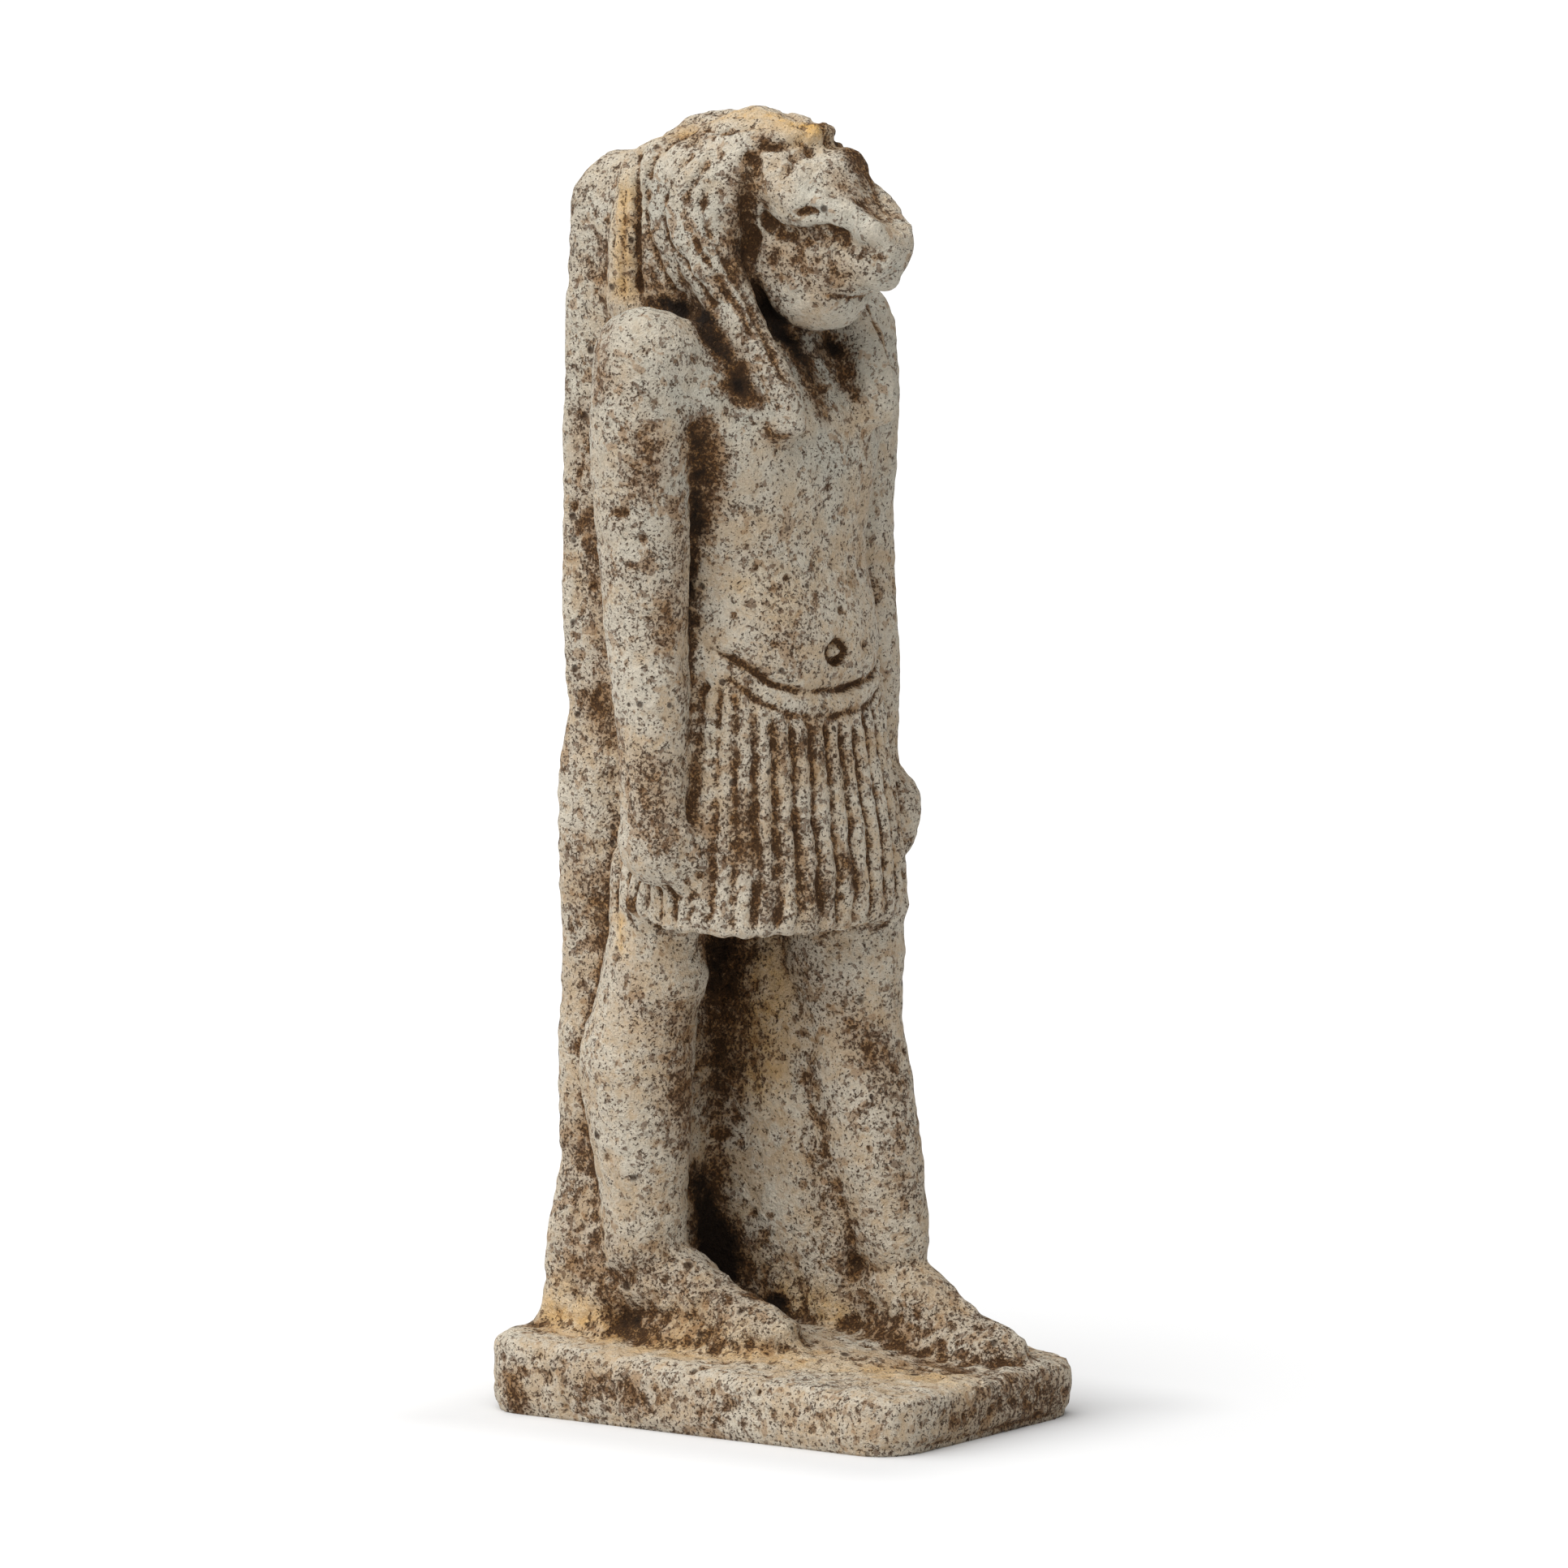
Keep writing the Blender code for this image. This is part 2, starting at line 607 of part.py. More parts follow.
def carve_marks(steps, normals, depth):
    """Eyes, the crease under each eye lobe, the navel and the short marks of the brow."""
    for side in (-1, 1):
        for line, width, sink in FACE_MARKS:
            path = np.array([(side * x, y, z) for x, y, z in line])
            depth += sink * groove_shape(along_path(steps, normals, path), width)
    belly = np.array([0.16, -3.6, 23.75])
    spot = np.hypot(steps[:, 0] - belly[0], steps[:, 2] - belly[2])
    ahead = (steps[:, 1] < -2.0).astype(float)
    ring = groove_shape(spot - 0.75 * NAVEL_RADIUS / STEP, 0.7 * NAVEL_RADIUS / STEP)
    depth += 0.25 * ring * ahead


def carve(whole):
    """All the shallow carving: each vertex sinks along its own normal."""
    points, normals = vertex_arrays(whole.data)
    steps = in_steps(points)
    turned_normals = normals @ np.array(Matrix.Rotation(TURN, 3, "Z"))
    depth = np.zeros(len(points))
    carve_kilt(steps, depth)
    carve_wig(steps, turned_normals, depth)
    carve_marks(steps, turned_normals, depth)
    height = (points[:, 2] - SOLE_LEVEL) / STEP
    behind_front = points[:, 1] - (PILLAR_BACK_Y - PILLAR_DEPTH)
    on_pillar = ramp(behind_front, 0.2 * MM, 1.2 * MM) * ramp(height, 4.4, 5.4)
    levels, stands_out = zip(*PILLAR_WEAR)
    depth -= on_pillar * np.interp(height, levels, stands_out)
    points -= normals * (depth * STEP)[:, None]
    whole.data.vertices.foreach_set("co", points.ravel())
    whole.data.update()


def thinned(whole, triangles):
    """Fewer triangles, keeping the edges and grooves."""
    made = sum(len(p.vertices) - 2 for p in whole.data.polygons)
    thin = whole.modifiers.new("thin", "DECIMATE")
    thin.ratio = triangles / made
    return applied(whole)


def cut_flat(whole):
    """The underside cut off level and closed with flat faces."""
    shape = bmesh.new()
    shape.from_mesh(whole.data)
    geometry = shape.verts[:] + shape.edges[:] + shape.faces[:]
    cut = bmesh.ops.bisect_plane(
        shape, geom=geometry, dist=0.0005 * MM, plane_co=(0, 0, 0), plane_no=(0, 0, 1), clear_inner=True
    )
    rim = [e for e in cut["geom_cut"] if isinstance(e, bmesh.types.BMEdge)]
    bmesh.ops.contextual_create(shape, geom=rim)
    for vertex in shape.verts:
        if abs(vertex.co.z) < 0.002 * MM:
            vertex.co.z = 0.0
    bmesh.ops.remove_doubles(shape, verts=shape.verts, dist=0.004 * MM)
    bmesh.ops.triangulate(shape, faces=shape.faces)
    bmesh.ops.recalc_face_normals(shape, faces=shape.faces)
    shape.to_mesh(whole.data)
    shape.free()
    return whole


def main():
    for old in list(bpy.data.objects):
        bpy.data.objects.remove(old)
    pieces = base_pieces() + pillar() + [web()] + leg_pieces()
    pieces += [level_loft("torso", TORSO), level_loft("kilt", KILT, 0.3)]
    pieces += arm_pieces() + head_pieces() + wig_pieces()
    whole = fused(pieces)
    carve(whole)
    whole = cut_flat(thinned(whole, TRIANGLES))
    whole.name = "thoth_amulet"
    whole.data.name = "thoth_amulet"
    faience = bpy.data.materials.new("faience")
    faience.use_nodes = True
    shader = faience.node_tree.nodes["Principled BSDF"]
    shader.inputs["Base Color"].default_value = (0.60, 0.55, 0.46, 1.0)
    shader.inputs["Roughness"].default_value = 0.85
    whole.data.materials.append(faience)
    parts = bpy.data.collections.new("thoth amulet")
    bpy.context.scene.collection.children.link(parts)
    bpy.context.scene.collection.objects.unlink(whole)
    parts.objects.link(whole)


main()
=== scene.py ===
import math
import time

import bmesh
import bpy
import numpy as np
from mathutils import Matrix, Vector
from mathutils.bvhtree import BVHTree
from mathutils.kdtree import KDTree


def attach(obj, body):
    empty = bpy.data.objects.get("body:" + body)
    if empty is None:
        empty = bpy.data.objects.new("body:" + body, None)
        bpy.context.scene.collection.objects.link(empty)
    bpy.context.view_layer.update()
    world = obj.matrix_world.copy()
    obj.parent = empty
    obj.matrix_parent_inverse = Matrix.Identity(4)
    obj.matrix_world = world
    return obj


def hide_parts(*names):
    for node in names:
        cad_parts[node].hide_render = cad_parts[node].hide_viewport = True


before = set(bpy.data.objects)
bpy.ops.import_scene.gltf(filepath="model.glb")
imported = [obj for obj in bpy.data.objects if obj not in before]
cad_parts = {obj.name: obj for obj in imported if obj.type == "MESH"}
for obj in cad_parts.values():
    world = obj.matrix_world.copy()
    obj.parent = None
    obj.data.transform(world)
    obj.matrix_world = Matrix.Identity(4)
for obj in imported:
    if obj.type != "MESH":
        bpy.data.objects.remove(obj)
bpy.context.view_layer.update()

mm = 0.001
startedAt = time.time()


def report(stage):
    print(f"amulet: {stage}, {time.time() - startedAt:.1f} s")


# the figure's own frame in millimetres: its axis, the level of its soles and the turn of the upper body
figure = {"axis": (0.0, 1.2, 2.6), "turn": -4.0}

# level sections of the kilt: height, half width, half depth, centre and squareness, as the solid has them
kiltSections = [
    (14.25, 5.5, 4.15, -0.45, 2.4),
    (16.3, 5.2, 3.95, -0.55, 2.35),
    (18.6, 4.95, 3.7, -0.5, 2.35),
    (20.6, 4.65, 3.4, -0.5, 2.35),
    (22.6, 4.45, 3.2, -0.5, 2.35),
    (24.4, 4.3, 3.0, -0.5, 2.35),
]

# the finer carving, in millimetres: the belt is lowest in front and rises to the sides
carving = {
    "pleats": 38,
    "pleatWidth": 0.36,
    "pleatDepth": 0.1,
    "pleatRound": 0.05,
    "beltWidth": 0.85,
    "beltGroove": 0.45,
    "beltDepth": 0.27,
    "beltLow": 22.45,
    "beltRise": 2.35,
    "beltReach": 4.6,
    "beltCurve": 3.2,
    "navel": (-0.1, 23.75),
    "navelRadius": 0.47,
    "navelDepth": 0.34,
    "cheekStep": 0.14,
    "wigProud": 0.14,
    "lineReach": 1.1,
    "baseEdgeHeight": 0.7,
    "baseEdgeWear": 0.35,
}

# grooves on each side of the head, in the figure's frame: a line of points, its width and its depth
headLines = [
    # between the locks that fall to the lappet
    ([(2.7, 2.6, 40.0), (3.23, 2.34, 39.3), (3.35, 2.28, 38.1), (3.4, 2.2, 36.0)], 0.45, 0.34),
    ([(2.35, 1.4, 40.7), (3.12, 1.86, 39.5), (3.28, 1.91, 38.5), (3.46, 1.63, 37.6), (3.28, 0.84, 36.0)],
     0.4, 0.2),
    ([(2.9, 0.3, 40.4), (3.6, 0.7, 39.6), (3.47, 1.0, 38.7), (3.45, 0.8, 37.8), (3.8, -0.1, 37.0)],
     0.4, 0.18),
    ([(3.8, -0.1, 37.0), (3.86, -0.72, 36.4), (3.66, -1.24, 35.7)], 0.42, 0.26),
    ([(2.69, -0.24, 40.3), (3.55, -0.06, 39.5), (3.7, 0.0, 38.6), (3.74, -0.5, 37.8)], 0.36, 0.14),
    ([(3.74, -0.5, 37.8), (3.75, -1.1, 37.0), (3.68, -1.54, 36.4), (3.48, -2.16, 35.6), (3.33, -2.72, 34.7)],
     0.42, 0.26),
    ([(3.23, -0.49, 39.4), (3.48, -0.6, 38.65), (3.52, -0.92, 38.0), (3.39, -1.41, 37.25)], 0.36, 0.16),
    ([(3.39, -1.41, 37.25), (3.22, -1.95, 36.3), (3.1, -2.44, 35.5), (2.95, -3.09, 34.4),
      (2.93, -3.77, 33.3)], 0.42, 0.22),
    # rear locks
    ([(2.4, 3.1, 40.3), (3.24, 3.25, 39.5), (3.59, 3.14, 37.5), (3.65, 3.13, 35.7)], 0.3, 0.14),
    ([(2.6, 2.7, 40.1), (3.41, 2.82, 39.1), (3.64, 2.71, 37.5), (3.64, 2.78, 35.6)], 0.3, 0.14),
    # over the crown to the rim
    ([(0.42, 2.3, 41.45), (0.45, 1.0, 41.85), (0.42, -0.5, 41.95), (0.3, -1.8, 41.9), (0.25, -2.6, 41.6)],
     0.34, 0.13),
    ([(1.3, 2.2, 41.1), (1.33, 0.27, 41.7), (1.0, -0.7, 41.8), (0.75, -1.76, 41.75), (0.6, -2.8, 41.3)],
     0.36, 0.16),
    ([(2.28, 1.46, 40.8), (1.9, 0.8, 41.2), (2.03, -0.3, 41.3), (1.54, -1.07, 41.35), (1.1, -2.0, 41.5)],
     0.36, 0.16),
    # under the rim and down between wig and face
    ([(0.9, -2.75, 41.0), (1.35, -2.5, 40.95), (1.77, -1.85, 40.84), (2.16, -1.5, 40.6)], 0.45, 0.26),
    ([(2.16, -1.7, 40.6), (2.4, -1.8, 39.87), (2.35, -1.65, 38.94), (2.0, -1.45, 37.9), (2.1, -1.5, 36.8)],
     0.95, 0.3),
    ([(2.1, -1.5, 36.8), (1.9, -1.6, 35.9), (1.13, -1.53, 35.07), (0.23, -1.68, 34.4)], 0.8, 0.22),
    # lobe, eye, brow and chin
    ([(1.9, -2.0, 38.4), (1.8, -2.6, 38.15), (1.75, -3.45, 38.1), (1.5, -4.5, 38.25), (1.25, -5.0, 38.0)],
     0.6, 0.2),
    ([(1.25, -5.0, 38.0), (1.05, -5.6, 37.75), (0.8, -6.1, 37.7)], 0.5, 0.1),
    ([(1.9, -3.62, 38.85), (1.83, -4.1, 38.93)], 0.5, 0.17),
    ([(2.1, -2.95, 39.95), (1.65, -2.9, 40.3)], 0.42, 0.13),
    ([(1.35, -4.1, 36.0), (0.85, -4.4, 35.9), (0.0, -4.5, 35.82)], 0.3, 0.16),
]

# places that stand out or sink in a little, in the figure's frame: centre, radius and rise
swellings = [
    (-2.6, 2.4, 40.3, 1.7, 0.45),
    (2.6, 2.4, 40.3, 1.7, 0.4),
    (0.0, 1.0, 41.9, 1.2, -0.15),
    (-0.8, 1.9, 41.7, 1.7, -0.75),
    (0.4, -1.6, 41.9, 1.3, -0.4),
    (0.8, -3.6, 40.4, 0.9, 0.3),
    (-0.2, -3.6, 40.4, 0.8, 0.2),
    (0.4, -5.9, 39.3, 1.7, -0.3),
    (0.4, -5.5, 36.2, 0.8, 0.2),
    (0.5, -5.2, 35.75, 0.7, -0.35),
]

# earth stains, and some painted shade and light, each along a line on the surface: start, end, radius and
# strength grime thickens the speckle and the last kind thins it; its line at the throat is painted light
stains = {"umberAndShade": [
    ((-1.8, -0.4, 43.7), (0.7, -1.7, 43.6), 0.25, 0.9),  # front rim of the wig
    ((-2.1, 2.9, 43.4), (-2.1, 1.9, 43.6), 0.44, 0.5),  # crown side
    ((0.1, -2.6, 43.1), (0.3, -3.2, 42.5), 0.44, 1.0),  # brow
    ((-3.2, 3.6, 40.1), (-3.1, 3.4, 38.1), 0.28, 0.6),  # behind the side locks
    ((-3.1, 2.8, 38.2), (-3.0, 2.2, 38.0), 0.28, 0.9),  # on the shoulder under the locks
    ((-2.8, -0.3, 42.4), (-2.9, -0.3, 39.5), 0.5, 0.8),  # painted shadow beside the face, between wig and face
    ((-3.7, 0.2, 37.2), (-3.4, -0.7, 35.7), 0.44, 1.0),  # painted shade under the lappet
    ((1.0, -0.8, 36.4), (1.8, -0.9, 36.3), 0.36, 0.6),  # painted shade in the hollow of the neck
    ((-5.0, -0.0, 34.2), (-4.5, -0.0, 32.6), 0.55, 1.0),  # armpit
    ((-4.5, 0.2, 31.9), (-4.2, 0.4, 30.8), 0.44, 0.9),  # below the armpit
    ((-4.2, 0.3, 30.5), (-4.1, 0.2, 27.7), 0.72, 0.15),  # side of the body
    ((-6.9, 1.0, 35.1), (-4.1, 1.0, 29.3), 0.55, 0.12),  # painted shade on the inner arm
    ((-6.7, 0.8, 22.3), (-6.6, 0.6, 20.5), 0.79, 0.35),  # wrist and fist
    ((-2.6, 5.9, 24.2), (-2.7, 5.3, 23.3), 0.55, 0.7),  # pillar notch
    ((-3.0, 6.4, 19.1), (-2.9, 6.1, 16.6), 0.72, 0.35),  # pillar low
    ((-0.9, -3.2, 19.4), (-0.2, -3.1, 18.4), 0.28, 0.8),  # fold
    ((-4.8, 3.1, 17.9), (-4.9, 2.8, 17.7), 0.28, 1.0),  # hem behind the fist
    ((1.2, 3.1, 14.9), (1.3, 2.9, 11.0), 1.09, 0.42),  # between the thighs
    ((1.4, -2.2, 13.0), (1.9, -2.7, 12.4), 0.55, 0.5),  # left knee
    ((-3.0, 6.5, 12.5), (-3.0, 6.4, 12.4), 0.25, 0.9),  # pillar by the calf
    ((0.3, 3.7, 7.4), (1.1, 3.6, 4.8), 0.72, 1.0),  # behind the right leg: stain, with painted shade in the crevice
    ((-3.6, 3.7, 5.2), (-2.9, 0.2, 3.7), 1.1, 0.3),  # right foot
    ((-3.4, 4.9, 3.9), (-3.4, 3.6, 2.9), 0.55, 0.6),  # right heel
    ((-3.0, 6.5, 9.3), (-3.3, 6.2, 4.9), 0.72, 0.4),  # pillar foot
    ((-3.7, 8.1, 2.7), (-4.2, 7.0, 2.7), 0.44, 0.5),  # rear corner of the base
    ((-1.8, -0.2, 4.2), (1.2, 1.2, 3.4), 0.39, 1.0),  # between the feet
    ((1.3, -0.3, 8.5), (1.6, -2.1, 3.9), 0.55, 0.3),  # behind the left leg
    ((-5.8, 4.8, 1.3), (-5.8, -0.9, 0.8), 0.66, 0.25),  # near side of the base
    ((-5.8, 7.3, 1.2), (-5.8, 7.0, 0.4), 0.39, 0.8),  # rear corner of the base
    ((-2.2, -8.7, 1.0), (3.3, -8.6, 0.5), 0.72, 0.4),  # painted shade on the shaded front of the base, warm brown
    ((2.1, -4.8, 4.1), (2.2, -7.7, 2.4), 0.44, 0.2),  # left foot
    ((2.1, -2.9, 11.5), (2.0, -3.5, 7.3), 0.44, 0.15),  # left shin
    ((-0.1, -1.4, 44.1), (0.9, -1.7, 43.4), 0.42, 1.0),  # edge of the wig over the brow
    ((-3.7, 0.5, 37.7), (-3.7, -0.2, 36.5), 0.55, 1.0),  # painted shade between lappet and shoulder
    ((-3.7, -0.2, 36.5), (-3.6, -0.6, 35.5), 0.44, 1.0),  # painted shade at the lower end of that hollow
    ((-1.3, -0.6, 37.8), (-0.4, -0.5, 36.8), 0.41, 1.0),  # painted shade between lappet and neck
    ((-0.4, -0.5, 36.8), (-0.1, -1.0, 36.0), 0.41, 1.0),  # painted shade beside the lappet
    ((-0.1, -1.0, 36.0), (-0.1, -1.4, 35.1), 0.39, 1.0),  # painted shade beside the lappet, lower
    ((-0.1, -1.4, 35.1), (-0.4, -1.9, 34.4), 0.33, 0.9),  # painted shade beside the end of the lappet
    ((-0.9, 2.4, 43.9), (-0.8, 0.2, 44.1), 0.16, 0.6),  # dark line over the crown
], "ochre": [
    ((-1.1, 3.3, 44.0), (-0.5, -1.5, 44.1), 0.79, 1.0),  # crown
    ((-1.4, 4.6, 42.9), (-1.7, 2.6, 43.7), 0.66, 0.8),  # crown rear
    ((-3.2, 4.2, 41.9), (-3.5, 4.2, 38.7), 0.57, 0.8),  # rear locks
    ((-3.4, -0.9, 28.6), (-2.5, -1.6, 28.5), 0.66, 0.4),  # belly
    ((-4.2, 3.9, 17.2), (-4.3, 3.7, 16.1), 0.33, 0.8),  # back of the thigh
    ((1.3, 1.7, 14.8), (1.2, 1.9, 11.1), 1.12, 0.8),  # between the thighs
    ((-3.5, 6.9, 3.2), (-3.6, 4.4, 2.6), 1.01, 0.8),  # base behind the foot
    ((-4.0, 2.8, 2.5), (-1.4, -7.5, 2.1), 1.15, 0.7),  # base top
    ((1.3, 0.7, 3.9), (1.3, -1.2, 3.3), 0.55, 0.8),  # between the feet
], "rustAndShade": [
    ((-1.1, -3.1, 42.4), (-0.8, -4.0, 41.6), 0.55, 0.7),  # below the brow
    ((-2.1, -1.8, 39.8), (-1.6, -3.1, 39.0), 0.61, 0.45),  # cheek
    ((-2.1, -0.6, 40.3), (-2.1, -1.3, 39.5), 0.39, 0.4),  # jaw
    ((-6.5, 2.8, 37.4), (-7.1, 2.5, 35.9), 0.6, 0.6),  # shoulder
    ((-6.8, 0.6, 33.8), (-6.9, 0.7, 32.7), 0.6, 0.7),  # upper arm
    ((-4.4, -0.6, 33.3), (-4.2, -0.2, 31.6), 0.5, 0.35),  # beside the armpit
    ((-3.1, -1.7, 33.9), (-3.0, -2.1, 33.9), 0.28, 0.8),  # end of the lappet
    ((-6.4, 0.3, 28.7), (-6.3, 0.3, 27.1), 0.39, 0.8),  # lower arm
    ((-2.8, 5.8, 28.9), (-2.7, 5.5, 24.7), 0.44, 0.5),  # pillar by the arm
    ((-2.8, 6.5, 33.8), (-2.8, 6.2, 30.5), 0.44, 0.45),  # pillar upper
    ((1.4, -2.9, 2.9), (0.1, -7.1, 2.1), 0.33, 1.0),  # along the left foot
    ((-4.3, 3.9, 15.8), (-4.3, 2.9, 13.7), 0.44, 0.35),  # right thigh
    ((-5.9, 0.2, 31.8), (-5.7, 0.2, 29.0), 0.39, 0.6),  # painted shade on the shaded side of the arm
    ((-5.7, 0.2, 29.0), (-5.6, 0.2, 25.4), 0.39, 0.5),  # painted shade on the shaded side of the lower arm
    ((1.2, 2.9, 15.2), (1.3, 2.2, 11.9), 0.89, 0.6),  # upper sheet between the legs
    ((-3.6, 5.1, 2.8), (-3.3, 1.0, 2.5), 0.5, 0.6),  # base beside the right foot
    ((-2.9, -1.5, 2.5), (-0.4, -5.5, 2.2), 0.6, 0.45),  # base top in front
    ((-3.4, 4.1, 40.9), (-3.5, 4.1, 39.0), 0.2, 0.7),  # dark line between the rear locks
], "plumAndShade": [
    ((-4.2, -1.4, 21.7), (-4.4, -1.6, 19.4), 0.28, 0.5),  # pleat
    ((-4.0, -2.1, 18.5), (-4.0, -2.2, 17.7), 0.33, 0.5),  # pleat at the hem
    ((-2.0, 1.9, 16.3), (1.2, 3.2, 14.1), 0.5, 0.8),  # painted shadow under the hem
    ((1.0, 0.4, 15.5), (1.1, -1.6, 14.0), 0.66, 0.4),  # left thigh
    ((-3.1, 2.0, 13.6), (-2.6, 2.3, 9.9), 0.89, 0.7),  # inside the right leg
], "grime": [
    ((-7.1, 0.9, 31.3), (-6.8, 0.7, 27.5), 0.83, 0.7),  # arm
    ((-3.1, -1.0, 29.4), (-2.1, -2.2, 26.9), 1.1, 0.6),  # belly
    ((-4.2, -0.8, 23.7), (-1.5, -2.6, 23.0), 1.24, 0.7),  # kilt upper
    ((-4.7, -0.5, 20.1), (-2.0, -2.9, 18.6), 1.38, 0.7),  # kilt lower
    ((-3.6, 1.3, 41.7), (-3.7, 0.1, 39.5), 0.77, 0.5),  # wig side
    ((-1.5, -6.0, 2.1), (2.0, -8.2, 2.1), 0.9, 0.8),  # base top at the front
], "cleanAndLit": [
    ((-1.6, -1.8, 37.9), (-0.4, -2.8, 37.6), 0.5, 1.0),  # painted light on the throat, lifting the shade under the head
    ((-2.3, -2.1, 42.2), (-2.0, -2.9, 41.9), 0.61, 0.6),  # brow side
    ((-1.9, -3.5, 41.5), (-1.5, -4.9, 40.8), 0.55, 0.5),  # snout side
    ((-4.0, 0.3, 29.7), (-4.3, 0.1, 26.7), 0.5, 0.8),  # side of the body
    ((-4.3, 0.1, 26.7), (-4.6, 0.0, 23.1), 0.5, 0.8),  # side of the kilt by the arm
    ((-2.7, -1.7, 2.6), (-2.2, -7.7, 2.0), 0.72, 0.6),  # base top
    ((-3.5, 6.9, 3.2), (-3.6, 5.1, 2.8), 0.61, 0.8),  # base behind the foot
    ((-1.0, 3.1, 44.1), (-0.0, -0.9, 44.3), 0.55, 1.0),  # crown
    ((1.2, 1.6, 9.5), (1.3, 1.2, 6.7), 0.66, 0.8),  # sheet beside the left leg
]}


# 0 up to low, 1 from high on, and smooth between them
def ramp(values, low, high):
    share = np.clip((values - low) / (high - low), 0.0, 1.0)
    return share * share * (3 - 2 * share)


# 1 in the middle of a groove and 0 from its edges on
def dip(distance, width):
    share = np.clip(np.abs(distance) / (width / 2), 0.0, 1.0)
    return (1 - share * share) ** 2


def turnMatrix():
    angle = math.radians(figure["turn"])
    c, s = math.cos(angle), math.sin(angle)
    return np.array([[c, -s, 0], [s, c, 0], [0, 0, 1]])


# the same points in the figure's own frame
def figureSteps(points):
    return (points - np.array(figure["axis"])) @ turnMatrix()


# points in millimetres, and normals
def meshArrays(mesh):
    count = len(mesh.vertices)
    points = np.empty(count * 3)
    mesh.vertices.foreach_get("co", points)
    normals = np.empty(count * 3)
    mesh.vertices.foreach_get("normal", normals)
    return points.reshape(-1, 3) / mm, normals.reshape(-1, 3)


def setPoints(mesh, points):
    mesh.vertices.foreach_set("co", (points * mm).ravel())
    mesh.update()


def setShare(mesh, name, values):
    layer = mesh.attributes.get(name) or mesh.attributes.new(name, "FLOAT", "POINT")
    layer.data.foreach_set("value", np.asarray(values, dtype=np.float32))


# how far out of the kilt each point lies, 1 on its surface, and its angle round it
def roundTheKilt(steps):
    x, y, z = steps.T
    levels, *columns = zip(*kiltSections)
    halfWidth, halfDepth, middle, squareness = [np.interp(z, levels, column) for column in columns]
    across = x / halfWidth
    ahead = -(y - middle) / halfDepth
    out = (np.abs(across) ** squareness + np.abs(ahead) ** squareness) ** (1 / squareness)
    return out, np.arctan2(across, ahead)


# distance aside of a path, measured in the surface
def besidePath(points, normals, path):
    nearest = np.full(len(points), 1e3)
    for start, end in zip(path, path[1:]):
        run = end - start
        share = np.clip((points - start) @ run / (run @ run), 0.0, 1.0)
        away = points - start - share[:, None] * run
        rise = np.einsum("ij,ij->i", away, normals)
        aside = np.sqrt(np.maximum(np.einsum("ij,ij->i", away, away) - rise * rise, 0.0))
        aside[np.abs(rise) > carving["lineReach"]] = 1e3
        nearest = np.minimum(nearest, aside)
    return nearest


# smooth wandering between -1 and 1, the same each run
def wander(steps, size, shift):
    x, y, z = steps.T
    a = np.sin(x / size * 1.7 + 2.1 * np.sin(z / size * 0.9 + shift) + shift)
    b = np.sin(z / size * 1.3 + 1.7 * np.sin(y / size * 1.1 - shift) + 2.0 * shift)
    c = np.sin(y / size * 1.9 + 1.3 * np.sin(x / size + z / size) - shift)
    return (a + b + c) / 3


# the level of the belt's upper line
def beltHeight(across):
    share = np.minimum(np.abs(across) / carving["beltReach"], 1.0)
    return carving["beltLow"] + carving["beltRise"] * share ** carving["beltCurve"]


def kiltDepth(steps):
    x, y, z = steps.T
    out, angle = roundTheKilt(steps)
    sway = 0.12 * np.sin(z * 0.9 + 5 * angle) + 0.08 * np.sin(z * 2.3 + 11 * angle)
    turn = angle * carving["pleats"] / (2 * math.pi) + sway * ramp(20.5 - z, 0, 3)
    lower = beltHeight(x) - carving["beltWidth"]
    onKilt = 1 - ramp(out, 1.07, 1.14)
    share = onKilt * (1 - ramp(y, 2.6, 3.2))
    share = share * (1 - ramp(z, lower - 0.3, lower - 0.1)) * ramp(z, 14.2, 15.2)
    smoothSide = ramp(np.abs(x), 4.0, 4.5) * ramp(z, 15.5, 17.5)
    share = share * (1 - 0.75 * smoothSide) * (0.75 + 0.7 * wander(steps, 0.6, 1.0))
    offset = turn - np.round(turn)
    _, halfWidth, halfDepth, _, _ = kiltSections[2]
    aside = np.abs(offset) * math.pi * (halfWidth + halfDepth) / carving["pleats"]
    narrow = np.clip(1 - aside / (carving["pleatWidth"] / 2), 0.0, 1.0) ** 1.3
    depth = share * (carving["pleatDepth"] * narrow + carving["pleatRound"] * (1 - np.abs(2 * offset)) ** 2)
    slack = onKilt * (1 - ramp(np.abs(x), 3.85, 4.15))
    wornGap = 1 - 0.8 * dip(x + 1.45, 1.1)
    deeperAside = 0.4 * ramp(-x, 1.5, 3.5)
    for level, strength in ((0.0, wornGap), (carving["beltWidth"], 0.6)):
        fromLine = z - beltHeight(x) + level + 0.06 * wander(steps, 0.5, level)
        uneven = strength * (0.75 + 0.5 * wander(steps, 0.6, 2.0 + level) + deeperAside)
        depth += uneven * slack * carving["beltDepth"] * dip(fromLine, carving["beltGroove"])
    return depth


